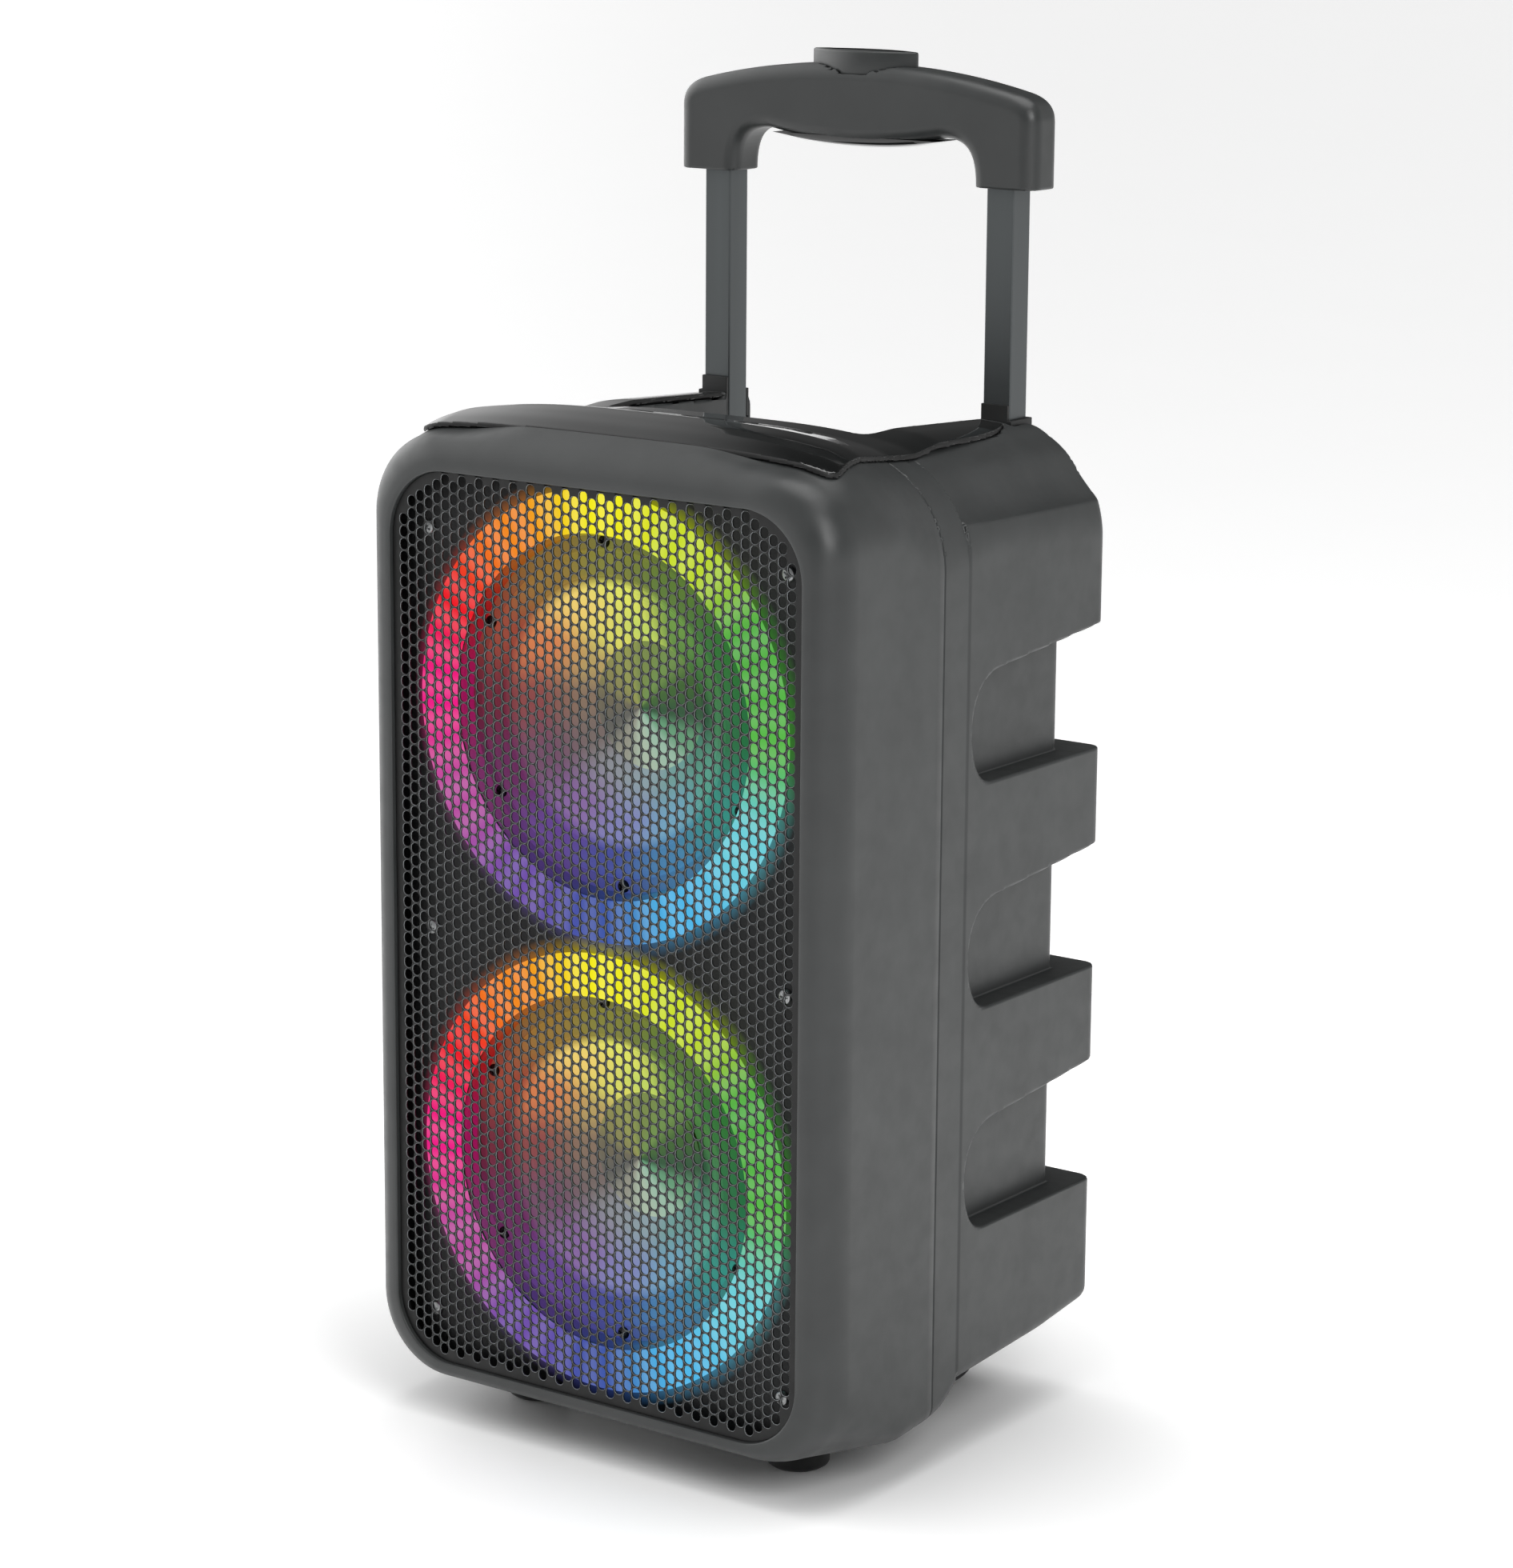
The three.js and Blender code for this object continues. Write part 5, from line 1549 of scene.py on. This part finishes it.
LENS_PLAN = Outline(lens_outline(0.5), margin=40)


def grip_field(point):
    x, y, z = point
    ax = np.abs(x)
    depth = np.abs(y - GRIP_MIDDLE) - GRIP_HALF_DEPTH
    body = round_and(GRIP_OUTER(x, z), depth, 9.5)
    body = carve(body, HAND_OPENING(x, z), 8)
    body = round_and(body, GRIP_LOW[2] - z, 0.9)
    socket = block((ax, y, z), (POST_LOW[0] - 0.3, POST_LOW[1] - 0.3, 690),
                   (POST_HIGH[0] + 0.3, POST_HIGH[1] + 0.3, POST_HIGH[2] + 1))
    body = carve(body, socket, 0.6)
    cross_way = block((ax, y, z), (None, 116, 738), (104, 127, 750.5))
    body = carve(body, cross_way, 0.1)
    well = np.maximum(LENS_PLAN(x, y), 744 - z)
    body = carve(body, well, 0.8)
    pad_seat = block((ax, y, z), (None, GRIP_LOW[1] + 3, 700), (58, GRIP_HIGH[1] - 3, 725.2))
    return carve(body, pad_seat, 0.3)


def grip():
    mesh = field_mesh("grip", grip_field, (-126, GRIP_LOW[1] - 2, 698), (126, GRIP_HIGH[1] + 2, 769),
                      1.4)
    stand_in("grip", mesh, HANDLE)


def grip_pad():
    """A crowned soft strip under the bar, deepest in its middle."""
    low, high = box_mm("grip_pad")
    rings = []
    for t in np.linspace(-1, 1, 49):
        end = math.sqrt(max(1 - t ** 8, 0.0))
        x = high[0] * t
        bottom = low[2] + (high[2] - 0.7 - low[2]) * abs(t) ** 2.2
        half = (high[1] - low[1]) / 2 * (0.9 + 0.1 * end)
        ring = [(x, GRIP_MIDDLE + half, high[2]), (x, GRIP_MIDDLE - half, high[2])]
        for a in np.linspace(0, math.pi, 19):
            drop = (high[2] - bottom) * max(math.sin(a), 0) ** 0.5
            ring.append((x, GRIP_MIDDLE - half * math.cos(a), high[2] - 0.05 - drop * end))
        rings.append(ring)
    stand_in("grip_pad", mesh_from("grip_pad", *capped(rings)), GLOSS)


def release_button():
    """A lens-shaped button with a slightly crowned top and a soft edge."""
    low, high = box_mm("release_button")
    rings = []
    for grow, z in ((-1.2, low[2]), (-0.4, low[2] + 0.4), (0, low[2] + 1.2), (0, high[2] - 1.3),
                    (-0.15, high[2] - 0.7), (-0.5, high[2] - 0.35), (-1.1, high[2] - 0.15),
                    (-4, high[2] - 0.04), (-8, high[2])):
        rings.append([(x, y, z) for x, y in lens_outline(grow)])
    stand_in("release_button", mesh_from("button", *capped(rings)), HANDLE)


grip()
grip_pad()
release_button()
soften("release_yoke", BLACK, 0.4)
for side in SIDES:
    soften(f"{side}_post", POST_METAL, 0.9, 3)
    soften(f"{side}_collar", BLACK, 0.5)
    soften(f"{side}_rail", STEEL, 0.3)
    soften(f"{side}_latch_pin", STEEL, 0.4)

# ---------------------------------------------------------------- rear plate and sockets


def fluted(angle):
    return 1 + 0.035 * math.cos(angle * 18)


def knob(node):
    """A fluted knob with a dished face and a raised pointer."""
    x, _, z = middle_mm(node)
    rear = box_mm(node)[1][1]
    skirt = turned([(0, 112), (3, 112), (3, 125), (7.7, 125), (7.9, 125.5), (7.9, 127), (7.3, 127.6),
                    (7.2, rear - 1.4), (6.6, rear - 0.5), (5.8, rear - 0.2), (4, rear - 0.6),
                    (0, rear - 0.7)], 108, x=x, z=z, swell=fluted)
    pointer = prism(rounded_rectangle((x - 0.6, z + 1), (x + 0.6, z + 6.6), 0.5, 3),
                    rear - 1.2, rear, 0.2)
    stand_in(node, joined_mesh(node, [skirt, pointer]), SOCKET)


def round_jack(node, bore):
    """A bushing with a nickel ring round its mouth."""
    low, high = box_mm(node)
    x, _, z = middle_mm(node)
    outer, front, rear = (high[0] - low[0]) / 2, low[1], high[1]
    body = filleted([(bore, rear - 0.6), (bore, front), (outer, front), (outer, rear),
                     (bore + 1.2, rear)], 0.35, 3)
    stand_in(node, mesh_from(node, *turned_ring(body, 72, x=x, z=z)), SOCKET)
    rim = filleted([(bore + 0.3, rear - 1), (bore + 0.3, rear + 0.4), (bore + 1.6, rear + 0.4),
                    (bore + 1.6, rear - 1)], 0.3, 3)
    piece(f"{node}_rim", mesh_from("rim", *turned_ring(rim, 72, x=x, z=z)), CHROME, "cabinet")


soften("rear_plate", PLATE, 0.4)
for node in ("microphone_knob", "echo_knob"):
    knob(node)
round_jack("microphone_jack", 3.3)
round_jack("audio_jack", 1.8)
soften("usb_socket", CHROME, 0.2)
soften("power_inlet", SOCKET, 0.4)
PLATE_REAR = box_mm("rear_plate")[1][1]
BACK_TURN = Matrix.Rotation(math.pi, 4, "Z")
back_head = moved(pan_screw(3.2, 2.0), BACK_TURN)
screws("plate_screws", SCREW_BLACK, back_head,
       [(x, PLATE_REAR, z) for x in (-60.5, 60.5) for z in (354.5, 445.5)], "cabinet")

# ---------------------------------------------------------------- inside

for node, finish, width in (("control_board", BOARD, 0.2), ("amplifier_board", BOARD, 0.3),
                            ("heat_sink", STEEL, 0.3), ("battery_tray", BLACK, 0.6),
                            ("battery_pack", WRAP, 0.6)):
    soften(node, finish, width)

# ---------------------------------------------------------------- feet and wheels


def foot(node):
    low, high = box_mm(node)
    x, y, _ = middle_mm(node)
    radius = (high[0] - low[0]) / 2
    profile = [(0, 0.4), (radius - 7, 0.4), (radius - 6.4, 0), *filleted(
        [(radius - 3, 0), (radius, 2), (radius, 8), (radius - 3, high[2])], 1.6, 5), (0, high[2])]
    stand_in(node, mesh_from(node, *turned_upright(profile, 96, x, y)), RUBBER)


def wheel(node):
    """A solid tyre with two grooves round its tread, on a dished hub."""
    x, y, z = middle_mm(node)
    r, half = WHEEL_RADIUS, WHEEL_HALF
    side = [(4.4, 8), (8, 8), (9, 7), (17, 6), (20, half), (r - 2.5, half), (r, half - 3)]
    tread = []
    for middle in (3.6, -3.6):
        tread += [(r, middle + 0.9), (r - 1.2, middle + 0.5), (r - 1.2, middle - 0.5),
                  (r, middle - 0.9)]
    outline = filleted([*side, *tread, *[(a, -b) for a, b in reversed(side)]], 0.8, 3)
    turn = Matrix.Translation((x, y, z)) @ Matrix.Rotation(math.pi / 2, 4, "Z")
    stand_in(node, mesh_from(node, *moved(turned_ring(outline, 96), turn)), TYRE)


for side in SIDES:
    foot(f"{side}_foot")
    wheel(f"{side}_wheel")
    soften(f"{side}_axle", CHROME, 0.5)
    soften(f"{side}_fork", BLACK, 0.5)
